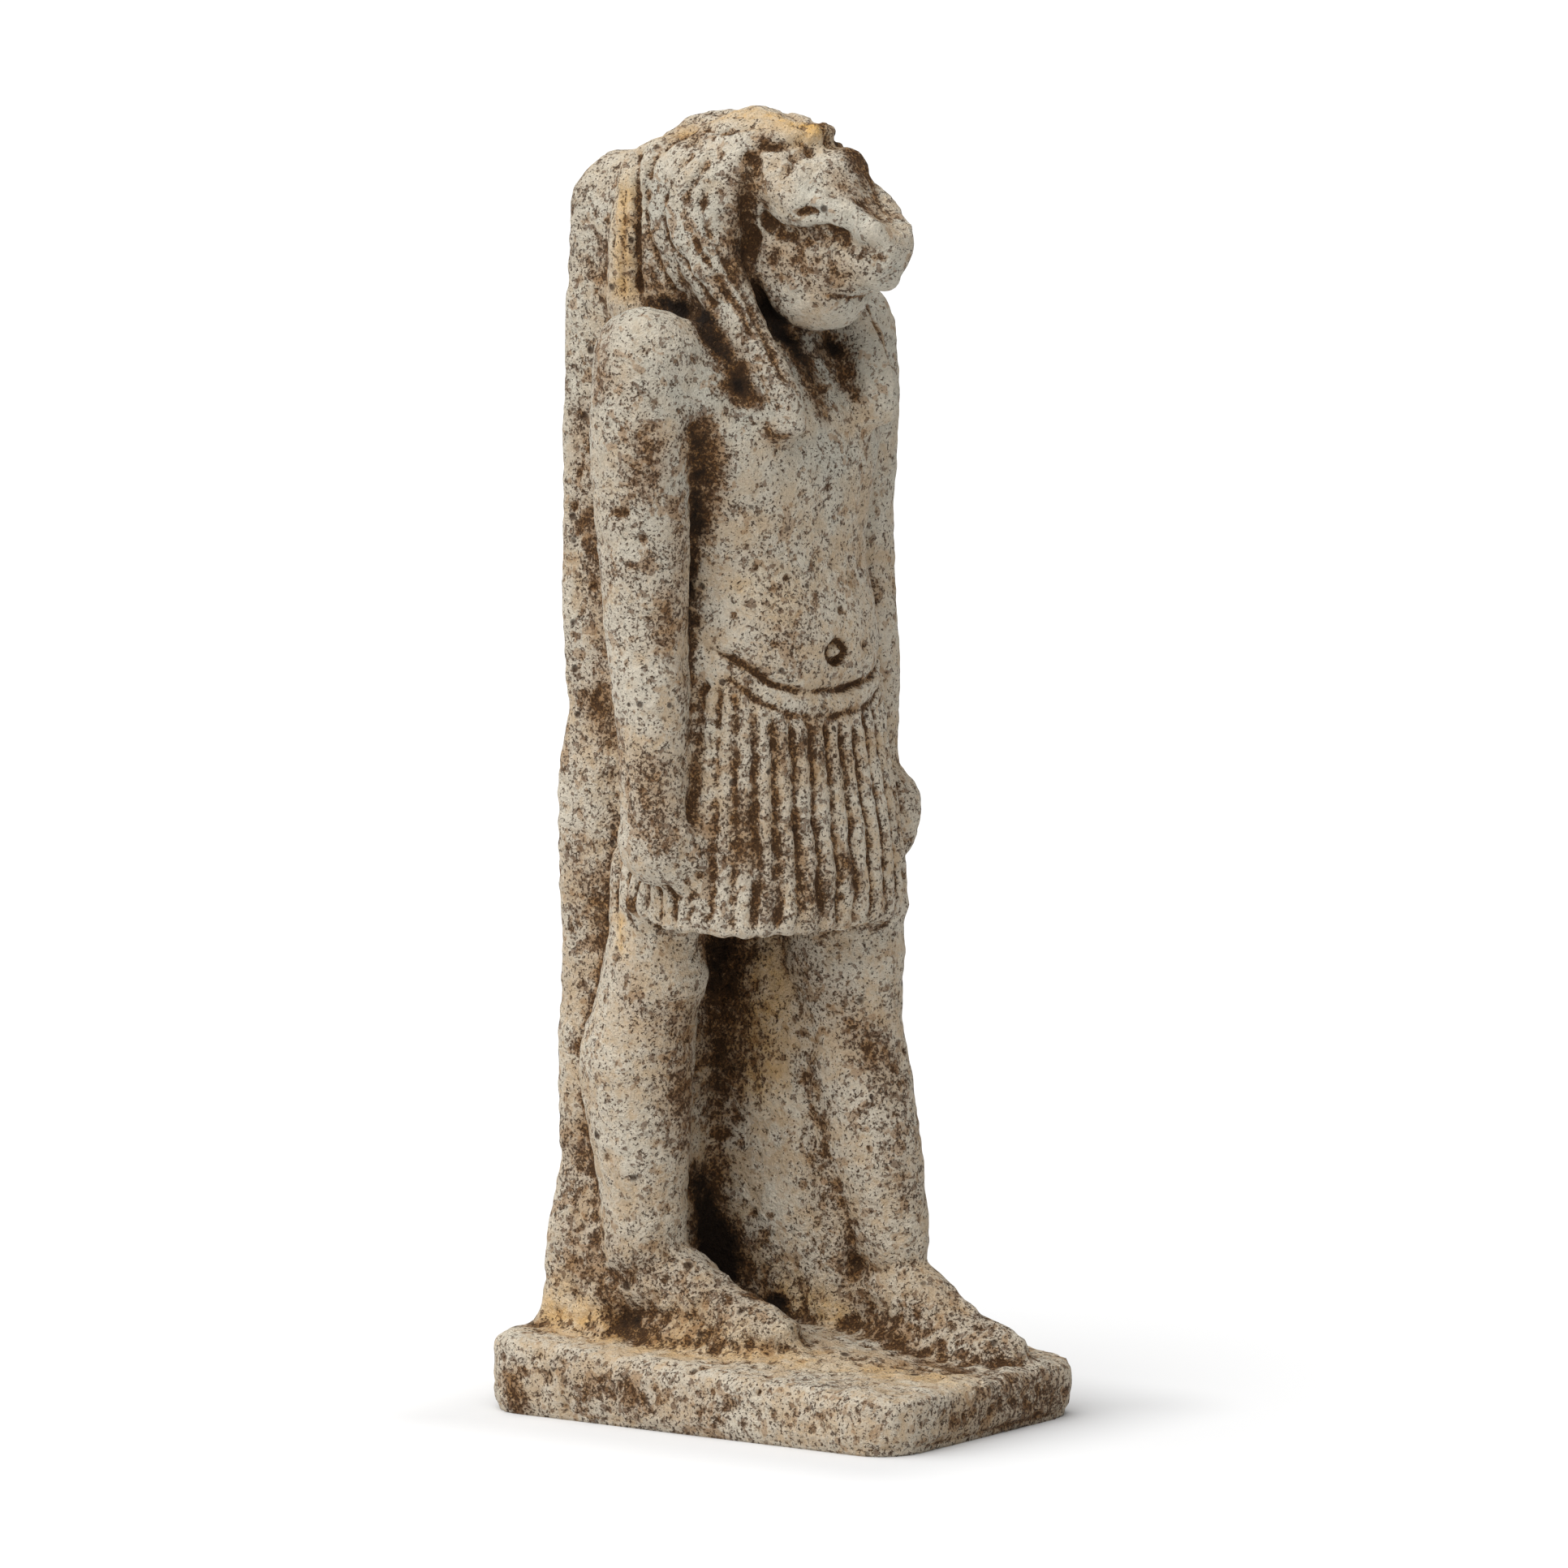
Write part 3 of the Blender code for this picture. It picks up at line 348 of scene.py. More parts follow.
def headDepth(steps, normals):
    x, y, z = steps.T
    depth = np.zeros(len(steps))
    sway = 1 + 0.35 * wander(steps, 0.45, 3.0)
    for side in (-1, 1):
        for line, width, sink in headLines:
            path = np.array(line) * (side, 1, 1)
            near = besidePath(steps, normals, path)
            depth = np.maximum(depth, sink * sway * dip(near, width))
    # the cheek is set back below the lobe that carries the eye
    lobe = np.interp(-y, [1.9, 3.4, 4.5, 5.6, 6.6], [38.3, 38.05, 38.2, 37.7, 37.5])
    below = lobe - z
    cheek = ramp(below, 0.0, 0.3) * (1 - ramp(below, 1.0, 2.6)) * ramp(-y, 1.8, 2.4)
    onWig = ramp(z, 35.5, 37.0) * ramp(y, -1.6, -1.0) * ramp(3.6 - y, 0.0, 0.4)
    depth -= carving["wigProud"] * np.maximum(onWig, ramp(z, 40.9, 41.3))
    cheek = carving["cheekStep"] * cheek * ramp(z, 34.5, 35.5)
    return depth + cheek * ramp(np.abs(x), 0.5, 1.0)


def navelDepth(steps):
    x, y, z = steps.T
    across, height = carving["navel"]
    spot = np.hypot(0.75 * (x - across), z - height)
    ring = dip(spot - 0.7 * carving["navelRadius"], 0.95 * carving["navelRadius"])
    return carving["navelDepth"] * ring * (y < -2.0)


# how deep each point lies in the carving, in millimetres
def carvedDepth(points, normals):
    steps = figureSteps(points)
    return kiltDepth(steps) + headDepth(steps, normals @ turnMatrix()) + navelDepth(steps)


# where the solid's carving is smoothed away before the finer carving takes its place
def plainShare(points):
    x, y, z = figureSteps(points).T
    wig = ramp(z, 35.3, 35.9) * ramp(y, -2.3, -1.7) * ramp(np.abs(x), 1.6, 2.2)
    crown = ramp(z, 40.3, 40.8) * ramp(y, -3.0, -2.6)
    lappets = ramp(z, 31.5, 32.0) * ramp(-y, 1.2, 1.7)
    lappets = lappets * ramp(np.abs(x), 1.7, 2.1) * (1 - ramp(z, 36.0, 36.4))
    fromBelt = np.abs(z - beltHeight(x) + 0.4 * carving["beltWidth"])
    belt = (1 - ramp(fromBelt, 0.7, 1.1)) * ramp(-y, -1.0, 0.0) * (1 - ramp(y, 0.0, 1.0))
    hem = (1 - ramp(np.abs(z - 14.3), 0.5, 1.1)) * (1 - ramp(y, 2.0, 3.0))
    return np.maximum.reduce([wig, crown, lappets, belt, 0.5 * hem])


# the swellings, and the worn lower edge of the base
def wornForm(points, normals):
    steps = figureSteps(points)
    depth = np.zeros(len(points))
    for across, behind, height, radius, rise in swellings:
        away = np.linalg.norm(steps - np.array((across, behind, height)), axis=1)
        depth -= rise * (1 - ramp(away, 0.15 * radius, radius))
    low = 1 - np.clip(points[:, 2] / carving["baseEdgeHeight"], 0.0, 1.0)
    rounded = 1 - np.sqrt(1 - low ** 2)
    return depth + carving["baseEdgeWear"] * rounded * (np.abs(normals[:, 2]) < 0.6)


def newObject(name, data):
    made = bpy.data.objects.new(name, data)
    bpy.context.scene.collection.objects.link(made)
    return made


def meshObject(name, shape):
    mesh = bpy.data.meshes.new(name)
    shape.to_mesh(mesh)
    shape.free()
    return newObject(name, mesh)


# a plain mesh in place of the object and its modifiers
def applied(whole):
    graph = bpy.context.evaluated_depsgraph_get()
    made = newObject(whole.name, bpy.data.meshes.new_from_object(whole.evaluated_get(graph)))
    bpy.data.objects.remove(whole)
    return made


def remesh(whole, voxel):
    modifier = whole.modifiers.new("remesh", "REMESH")
    modifier.mode = "VOXEL"
    modifier.voxel_size = voxel * mm


# a copy of the solid's mesh, with its loose triangles joined
def joinedCopy(node):
    shape = bmesh.new()
    shape.from_mesh(node.data)
    bmesh.ops.remove_doubles(shape, verts=shape.verts, dist=amulet["joinGap"] * mm)
    return shape


# the solid's skin as a closed mesh of small even faces
def fineSkin(node, voxel, softening):
    whole = meshObject("amulet", joinedCopy(node))
    remesh(whole, voxel)
    smooth = whole.modifiers.new("soften", "SMOOTH")
    smooth.factor = 0.5
    smooth.iterations = softening
    return applied(whole)


# where crumbs of earth still cling: centre, radius and strength
crumbPlaces = [
    ((-2.0, 1.5, 3.0), 3.2, 1.0),  # right foot
    ((0.5, 1.0, 3.0), 2.2, 0.8),  # between the feet
    ((0.5, -3.5, 2.6), 2.4, 0.5),  # beside the left foot
    ((-3.5, 4.5, 3.0), 2.0, 0.7),  # right heel
    ((-1.0, 6.0, 3.2), 2.4, 0.4),  # foot of the pillar
    ((1.2, 3.0, 12.0), 3.5, 0.35),  # sheet between the legs
]


def crustShare(points):
    share = np.zeros(len(points))
    for centre, radius, strength in crumbPlaces:
        away = np.linalg.norm(points - np.array(centre), axis=1)
        share = np.maximum(share, strength * (1 - ramp(away, 0.4 * radius, radius)))
    return share * (points[:, 2] > 2.3)


# how much the weather wears the skin, everywhere and more in some places
wearAmounts = {"all": 0.9, "wig": 0.35, "face": 0.35, "kilt": 0.1, "feet": 0.5}


def kiltShare(height):
    return (1 - ramp(height, 21.5, 22.5)) * ramp(height, 13.6, 14.2)


# how much each point is worn: the feet and the wig most, the underside not at all
def wearShare(points):
    _, y, z = figureSteps(points).T
    wig = ramp(z, 33.5, 36.0) * ramp(y, -2.6, -1.4) * (1 - ramp(y, 3.0, 3.8))
    face = ramp(z, 34.5, 36.5) * ramp(-y, 1.6, 2.2)
    feet = 1 - ramp(z, 1.0, 3.0)
    rough = wearAmounts["all"] + wearAmounts["wig"] * wig + wearAmounts["face"] * face
    rough = rough + wearAmounts["kilt"] * kiltShare(z) + wearAmounts["feet"] * feet
    return rough * ramp(points[:, 2], 0.05, 0.5)


# the socket of that name that is switched on
def live(sockets, name):
    for socket in sockets:
        if socket.name == name and socket.enabled:
            return socket
    raise KeyError(name)


def addNode(tree, kind, at, **settings):
    made = tree.nodes.new(kind)
    made.location = (at[0] * 190, -at[1] * 190)
    for name, value in settings.items():
        setattr(made, name, value)
    return made


# joins two sockets, or sets the target to a plain value
def feed(tree, source, target):
    if hasattr(source, "links"):
        tree.links.new(source, target)
    else:
        target.default_value = source


def reckon(tree, at, operation, first, second=None, third=None, clamp=False):
    made = addNode(tree, "ShaderNodeMath", at, operation=operation, use_clamp=clamp)
    for target, source in zip(made.inputs, (first, second, third)):
        if source is not None:
            feed(tree, source, target)
    return made.outputs[0]


def smoothStep(tree, at, value, low, high, down=False):
    made = addNode(tree, "ShaderNodeMapRange", at, interpolation_type="SMOOTHSTEP")
    feed(tree, value, made.inputs["Value"])
    feed(tree, low, made.inputs["From Min"])
    feed(tree, high, made.inputs["From Max"])
    made.inputs["To Min"].default_value = 1.0 if down else 0.0
    made.inputs["To Max"].default_value = 0.0 if down else 1.0
    return made.outputs["Result"]


# sizes in metres, crumbs to a square metre, and the seed of all that is random
weather = {
    "Swell Size": 0.0024,
    "Swell Depth": 0.0001,
    "Lump Size": 0.00045,
    "Lump Depth": 0.00014,
    "Pit Size": 0.0009,
    "Pit Depth": 0.0002,
    "Crumb Radius": 0.00013,
    "Crumb Density": 2600000.0,
    "Seed": 7,
}


# wears the skin: broad swells, lumps, pits, and crumbs of earth where the crust attribute says
def weatherTree():
    tree = bpy.data.node_groups.new("wornFaience", "GeometryNodeTree")
    face = tree.interface
    face.new_socket("Geometry", in_out="INPUT", socket_type="NodeSocketGeometry")
    for name, amount in weather.items():
        kind = "NodeSocketInt" if name == "Seed" else "NodeSocketFloat"
        face.new_socket(name, in_out="INPUT", socket_type=kind).default_value = amount
    face.new_socket("Material", in_out="INPUT", socket_type="NodeSocketMaterial")
    face.new_socket("Geometry", in_out="OUTPUT", socket_type="NodeSocketGeometry")
    entry = addNode(tree, "NodeGroupInput", (-4, 0))
    value = {s.name: s for s in entry.outputs}
    position = addNode(tree, "GeometryNodeInputPosition", (-4, 4)).outputs[0]
    normal = addNode(tree, "GeometryNodeInputNormal", (-4, 5)).outputs[0]

    def noise(row, size, detail, shift):
        scale = reckon(tree, (-3, row), "DIVIDE", 1.0, size)
        seed = reckon(tree, (-3, row + 1), "ADD", value["Seed"], shift)
        made = addNode(tree, "ShaderNodeTexNoise", (-2, row), noise_dimensions="4D")
        feed(tree, position, made.inputs["Vector"])
        feed(tree, seed, made.inputs["W"])
        feed(tree, scale, made.inputs["Scale"])
        made.inputs["Detail"].default_value = detail
        return made.outputs[0]

    def height(row, source, depth):
        centred = reckon(tree, (-1, row), "SUBTRACT", source, 0.5)
        twice = reckon(tree, (0, row), "MULTIPLY", centred, 2.0)
        return reckon(tree, (1, row), "MULTIPLY", twice, depth)

    swell = height(0, noise(0, value["Swell Size"], 2.0, 0.3), value["Swell Depth"])
    lumps = height(2, noise(2, value["Lump Size"], 2.5, 5.1), value["Lump Depth"])
    cells = addNode(tree, "ShaderNodeTexVoronoi", (-2, 6), voronoi_dimensions="4D")
    feed(tree, position, cells.inputs["Vector"])
    feed(tree, reckon(tree, (-3, 6), "DIVIDE", 1.0, value["Pit Size"]), cells.inputs["Scale"])
    feed(tree, reckon(tree, (-3, 7), "ADD", value["Seed"], 2.2), cells.inputs["W"])
    bowl = smoothStep(tree, (-1, 6), cells.outputs["Distance"], 0.1, 0.3, down=True)
    patches = smoothStep(tree, (0, 7), noise(8, value["Swell Size"], 1.0, 9.4), 0.46, 0.62)
    pits = reckon(tree, (1, 6), "MULTIPLY", bowl, patches)
    pits = reckon(tree, (2, 6), "MULTIPLY", pits, value["Pit Depth"])
    rise = reckon(tree, (2, 1), "ADD", swell, lumps)
    rise = reckon(tree, (3, 2), "SUBTRACT", rise, pits)
    wear = addNode(tree, "GeometryNodeInputNamedAttribute", (2, 4), data_type="FLOAT")
    wear.inputs["Name"].default_value = "wear"
    rise = reckon(tree, (4, 2), "MULTIPLY", rise, live(wear.outputs, "Attribute"))
    offset = addNode(tree, "ShaderNodeVectorMath", (5, 2), operation="SCALE")
    feed(tree, normal, offset.inputs[0])
    feed(tree, rise, offset.inputs["Scale"])
    moved = addNode(tree, "GeometryNodeSetPosition", (6, 0))
    feed(tree, value["Geometry"], moved.inputs["Geometry"])
    feed(tree, offset.outputs[0], moved.inputs["Offset"])

    crust = addNode(tree, "GeometryNodeInputNamedAttribute", (5, 4), data_type="FLOAT")
    crust.inputs["Name"].default_value = "crust"
    density = reckon(tree, (6, 4), "MULTIPLY", live(crust.outputs, "Attribute"), value["Crumb Density"])
    scattered = addNode(tree, "GeometryNodeDistributePointsOnFaces", (7, 2), distribute_method="RANDOM")
    feed(tree, moved.outputs[0], scattered.inputs["Mesh"])
    feed(tree, density, live(scattered.inputs, "Density"))
    feed(tree, value["Seed"], scattered.inputs["Seed"])
    crumb = addNode(tree, "GeometryNodeMeshIcoSphere", (7, 4))
    feed(tree, value["Crumb Radius"], crumb.inputs["Radius"])
    crumb.inputs["Subdivisions"].default_value = 1
    size = addNode(tree, "FunctionNodeRandomValue", (7, 6), data_type="FLOAT")
    live(size.inputs, "Min").default_value = 0.45
    live(size.inputs, "Max").default_value = 1.3
    feed(tree, value["Seed"], live(size.inputs, "Seed"))
    placed = addNode(tree, "GeometryNodeInstanceOnPoints", (8, 2))
    feed(tree, scattered.outputs["Points"], placed.inputs["Points"])
    feed(tree, crumb.outputs["Mesh"], placed.inputs["Instance"])
    feed(tree, scattered.outputs["Rotation"], placed.inputs["Rotation"])
    feed(tree, live(size.outputs, "Value"), placed.inputs["Scale"])
    both = addNode(tree, "GeometryNodeJoinGeometry", (9, 0))
    feed(tree, placed.outputs[0], both.inputs[0])
    feed(tree, moved.outputs[0], both.inputs[0])
    real = addNode(tree, "GeometryNodeRealizeInstances", (10, 0))
    feed(tree, both.outputs[0], real.inputs[0])
    dressed = addNode(tree, "GeometryNodeSetMaterial", (11, 0))
    feed(tree, real.outputs[0], dressed.inputs["Geometry"])
    feed(tree, value["Material"], dressed.inputs["Material"])
    out = addNode(tree, "NodeGroupOutput", (12, 0))
    feed(tree, dressed.outputs[0], out.inputs[0])
    return tree


def weathered(whole, material):
    tree = weatherTree()
    modifier = whole.modifiers.new("weather", "NODES")
    modifier.node_group = tree
    names = {s.name: s.identifier for s in tree.interface.items_tree if s.in_out == "INPUT"}
    for name, amount in weather.items():
        modifier[names[name]] = amount
    modifier[names["Material"]] = material
    return applied(whole)


def triangleCount(mesh):
    return sum(len(p.vertices) - 2 for p in mesh.polygons)


# fuses the crumbs into the skin, thins it where it is smooth and flattens the underside
def refined(whole, voxel, triangles):
    remesh(whole, voxel)
    whole = applied(whole)
    made = triangleCount(whole.data)
    if made > triangles:
        thin = whole.modifiers.new("thin", "DECIMATE")
        thin.ratio = triangles / made
        whole = applied(whole)
    points, _ = meshArrays(whole.data)
    points[:, 2] = np.where(points[:, 2] < amulet["flatBelow"], 0.0, points[:, 2])
    setPoints(whole.data, points)
    return whole


# values averaged with those of the neighbouring points, several times over
def neighbourMean(mesh, values, rounds):
    ends = np.empty(len(mesh.edges) * 2, dtype=np.int32)
    mesh.edges.foreach_get("vertices", ends)
    a, b = ends.reshape(-1, 2).T
    size = len(values)
    count = np.bincount(a, minlength=size) + np.bincount(b, minlength=size)

    def gathered(column):
        return np.bincount(a, column[b], size) + np.bincount(b, column[a], size)

    for _ in range(rounds):
        sums = np.stack([gathered(column) for column in values.T], axis=1)
        values = 0.5 * values + 0.5 * sums / count[:, None]
    return values


# rays that look for the hollows, their reach and their start off the surface in millimetres
hollows = {"rays": 56, "seed": 3, "reach": 7.0, "lift": 0.12, "leastSlant": 0.05, "spreadOver": 4}


# how shut in each point is, from rays cast on the solid and spread to the nearest points; the material
# paints shade from it
def hollowShadeShare(node, points):
    shape = joinedCopy(node)
    tree = BVHTree.FromBMesh(shape)
    rng = np.random.default_rng(hollows["seed"])
    rays = rng.normal(size=(hollows["rays"], 3))
    rays /= np.linalg.norm(rays, axis=1)[:, None]
    reach = hollows["reach"] * mm
    places = KDTree(len(shape.verts))
    shares = []
    for i, vertex in enumerate(shape.verts):
        normal = vertex.normal
        start = vertex.co + normal * hollows["lift"] * mm
        total = closed = 0.0
        for ray in rays:
            towards = Vector(ray)
            slant = towards.dot(normal)
            if slant < hollows["leastSlant"]:
                continue
            total += slant
            _, _, _, distance = tree.ray_cast(start, towards, reach)
            if distance is not None:
                closed += slant * (1 - distance / reach)
        shares.append(closed / total)
        places.insert(vertex.co, i)
    places.balance()
    shape.free()
    found = np.empty(len(points))
    for i, point in enumerate(points * mm):
        near = places.find_n(point, hollows["spreadOver"])
        weights = [1 / (distance + 0.00005) for _, _, distance in near]
        found[i] = sum(w * shares[index] for w, (_, index, _) in zip(weights, near)) / sum(weights)
    return found


# how strongly stains of one kind lie on each point, painted shade and light among them
def stainShare(points, kind):
    share = np.zeros(len(points))
    for start, end, radius, strength in stains[kind]:
        a, b = np.array(start), np.array(end)
        run = b - a
        along = np.clip((points - a) @ run / max(run @ run, 1e-6), 0.0, 1.0)
        away = np.linalg.norm(points - a - along[:, None] * run, axis=1)
        share = np.maximum(share, strength * (1 - ramp(away, 0.1 * radius, 2.0 * radius)))
    return share


# rounds of smoothing that find the creases, and the depths in millimetres that count in full
marks = {"nearRounds": 3, "farRounds": 24, "crease": 0.02, "groove": 0.12, "carved": 0.26}

# how much earth lies on each part, under the stains
soilShares = {"pillar": 0.06, "base": 0.12, "shin": 0.12, "wig": 0.25, "feet": 0.12, "kilt": 0.05}


# the attributes that the material reads
def markSkin(whole, node):
    mesh = whole.data
    points, normals = meshArrays(mesh)
    near = neighbourMean(mesh, points, marks["nearRounds"])
    far = neighbourMean(mesh, near, marks["farRounds"])
    small = np.einsum("ij,ij->i", near - points, normals)
    broad = np.einsum("ij,ij->i", far - points, normals)
    setShare(mesh, "crease", np.clip(small / marks["crease"], 0, 1))
    setShare(mesh, "groove", np.clip(broad / marks["groove"], 0, 1))
    setShare(mesh, "worn", np.clip(-broad / marks["groove"], 0, 1))
    setShare(mesh, "carved", np.clip(carvedDepth(points, normals) / marks["carved"], 0, 1))
    setShare(mesh, "hollowShade", hollowShadeShare(node, points))
    for kind in ("umberAndShade", "ochre", "rustAndShade", "plumAndShade"):
        setShare(mesh, kind, stainShare(points, kind))
    x, y, z = figureSteps(points).T
    shin = ramp(x, 0.8, 1.4) * ramp(-y, 1.0, 1.6)
    parts = {
        "pillar": ramp(points[:, 1], 4.2, 5.0),
        "base": 1 - ramp(points[:, 2], 2.2, 2.8),
        "shin": shin * (1 - ramp(np.abs(z - 7.5), 3.5, 5.5)),
        "wig": ramp(z, 31.5, 33.0) * ramp(-y, 1.6, 2.4) * ramp(-x, 2.0, 2.4),
        "feet": ramp(points[:, 2], 2.4, 2.8) * (1 - ramp(points[:, 2], 4.0, 6.5)),
        "kilt": kiltShare(z),
    }
    # the base's upward faces come out lighter
    onTop = ramp(normals[:, 2], 0.6, 0.9) * (1 - ramp(points[:, 2], 3.0, 3.4))
    soilAndLight = np.maximum.reduce([amount * parts[part] for part, amount in soilShares.items()])
    # the lines that thin the speckle take earth away too; at the throat this is painted light
    soilAndLight += 0.25 * stainShare(points, "grime") - 0.3 * stainShare(points, "cleanAndLit")
    setShare(mesh, "soilAndLight", soilAndLight - 0.15 * onTop)
    grey = ramp(points[:, 2], 27.0, 34.0) * (1 - 0.5 * ramp(points[:, 1], 3.5, 5.0))
    grey *= 1 - 0.8 * ramp(points[:, 2], 42.0, 43.4)
    setShare(mesh, "greyed", grey)
    for polygon in mesh.polygons:
        polygon.use_smooth = True


# colours of the finish, and the colours of its painted shade
faience = {
    "pale": (0.70, 0.63, 0.51),
    "body": (0.58, 0.44, 0.29),
    "grey": (0.54, 0.52, 0.44),
    "ochre": (0.76, 0.455, 0.145),
    "rustAndShade": (0.27, 0.11, 0.022),
    "umberAndShade": (0.115, 0.045, 0.010),
    "plumAndShade": (0.16, 0.085, 0.05),
    "soakedAndShaded": (0.31, 0.155, 0.05),
    "speckle": (0.055, 0.026, 0.010),
    "halo": (0.32, 0.16, 0.05),
    "shadeBlack": (0.012, 0.0065, 0.003),
    "worn": (0.64, 0.57, 0.46),
}

# the finish's noises, as scales, and its specks and pores, as sizes in metres
paste = {
    "broad": 330.0,
    "middle": 1100.0,
    "fine": 3600.0,
    "sandy": 11000.0,
    "patches": 290.0,
    "wideSpeck": 0.0006,
    "coarseSpeck": 0.00025,
    "smallSpeck": 0.0001,
    "poreSize": 0.0007,
    "poreAmount": 0.16,
    "relief": 0.00017,
    "shine": 0.22,
}

# how much each kind of earth adds to the dirt, and how much painted shade each kind of hollow adds to it
dirtAndShadeShares = {
    "umberAndShade": 0.6,
    "rustAndShade": 0.45,
    "plumAndShade": 0.5,
    "ochre": -0.15,
    "groove": 0.4,
    "deep": 0.5,
    "carved": 0.35,
    "crease": 0.35,
}

# how each stain lies on the paste, some of them painted shade: the scale of its grain, how broken it is, and
# how strong its middle is
washLooks = {
    "ochre": (1500.0, 0.5, 0.55),
    "rustAndShade": (2500.0, 0.7, 0.3),
    "plumAndShade": (2500.0, 0.7, 0.2),
    "umberAndShade": (2500.0, 0.6, 0.55),
}


# a shader group that reads a place and some values and gives one value
def newGroup(name, output, **values):
    tree = bpy.data.node_groups.new(name, "ShaderNodeTree")
    tree.interface.new_socket("Vector", in_out="INPUT", socket_type="NodeSocketVector")
    for label, value in values.items():
        socket = tree.interface.new_socket(label, in_out="INPUT", socket_type="NodeSocketFloat")
        socket.default_value = value
    tree.interface.new_socket(output, in_out="OUTPUT", socket_type="NodeSocketFloat")
    entry = addNode(tree, "NodeGroupInput", (-6, 0))
    leave = addNode(tree, "NodeGroupOutput", (6, 0))
    return tree, {s.name: s for s in entry.outputs}, {s.name: s for s in leave.inputs}


def shaderNoise(tree, at, vector, scale, detail, roughness=0.55):
    made = addNode(tree, "ShaderNodeTexNoise", at)
    feed(tree, vector, made.inputs["Vector"])
    feed(tree, scale, made.inputs["Scale"])
    made.inputs["Detail"].default_value = detail
    made.inputs["Roughness"].default_value = roughness
    return made.outputs[0]


# round dark pores of the paste, more of them where the amount is higher
def poreGroup():
    tree, entry, leave = newGroup("pastePores", "Pores", Size=0.0004, Amount=0.2)
    scale = reckon(tree, (-5, 2), "DIVIDE", 1.0, entry["Size"])
    cells = addNode(tree, "ShaderNodeTexVoronoi", (-3, 1))
    feed(tree, entry["Vector"], cells.inputs["Vector"])
    feed(tree, scale, cells.inputs["Scale"])
    split = addNode(tree, "ShaderNodeSeparateColor", (-2, 2))
    feed(tree, cells.outputs["Color"], split.inputs[0])
    chosen = reckon(tree, (-1, 2), "LESS_THAN", split.outputs[0], entry["Amount"])
    reach = reckon(tree, (-1, 3), "MULTIPLY_ADD", split.outputs[1], 0.22, 0.1)
    near = reckon(tree, (0, 3), "MULTIPLY", reach, 0.4)
    spot = smoothStep(tree, (1, 1), cells.outputs["Distance"], near, reach, down=True)
    feed(tree, reckon(tree, (2, 1), "MULTIPLY", spot, chosen), leave["Pores"])
    return tree


# ragged brown specks that merge into patches as the dirt and the painted shade rise
def speckleGroup():
    tree, entry, leave = newGroup("earthSpeckle", "Specks", Size=0.0002, Dirt=0.2)
    scale = reckon(tree, (-5, 2), "DIVIDE", 1.0, entry["Size"])
    grains = shaderNoise(tree, (-3, 1), entry["Vector"], scale, 2.0, 0.6)
    low = reckon(tree, (-2, 2), "MULTIPLY_ADD", entry["Dirt"], -0.2, 0.645)
    high = reckon(tree, (-1, 2), "ADD", low, 0.07)
    feed(tree, smoothStep(tree, (0, 1), grains, low, high), leave["Specks"])
    return tree


# a soft stain, also used for painted shade: the attribute's share, made grainy by noise
def stainGroup():
    tree, entry, leave = newGroup("stainAndShade", "Stain", Share=0.0, Scale=900.0, Break=0.5)
    grain = shaderNoise(tree, (-4, 1), entry["Vector"], entry["Scale"], 5.0, 0.7)
    grain = smoothStep(tree, (-3, 1), grain, 0.4, 0.6)
    lost = reckon(tree, (-2, 2), "SUBTRACT", 1.0, entry["Break"])
    kept = reckon(tree, (-1, 1), "MULTIPLY_ADD", grain, entry["Break"], lost)
    feed(tree, reckon(tree, (1, 1), "MULTIPLY", kept, entry["Share"], clamp=True), leave["Stain"])
    return tree


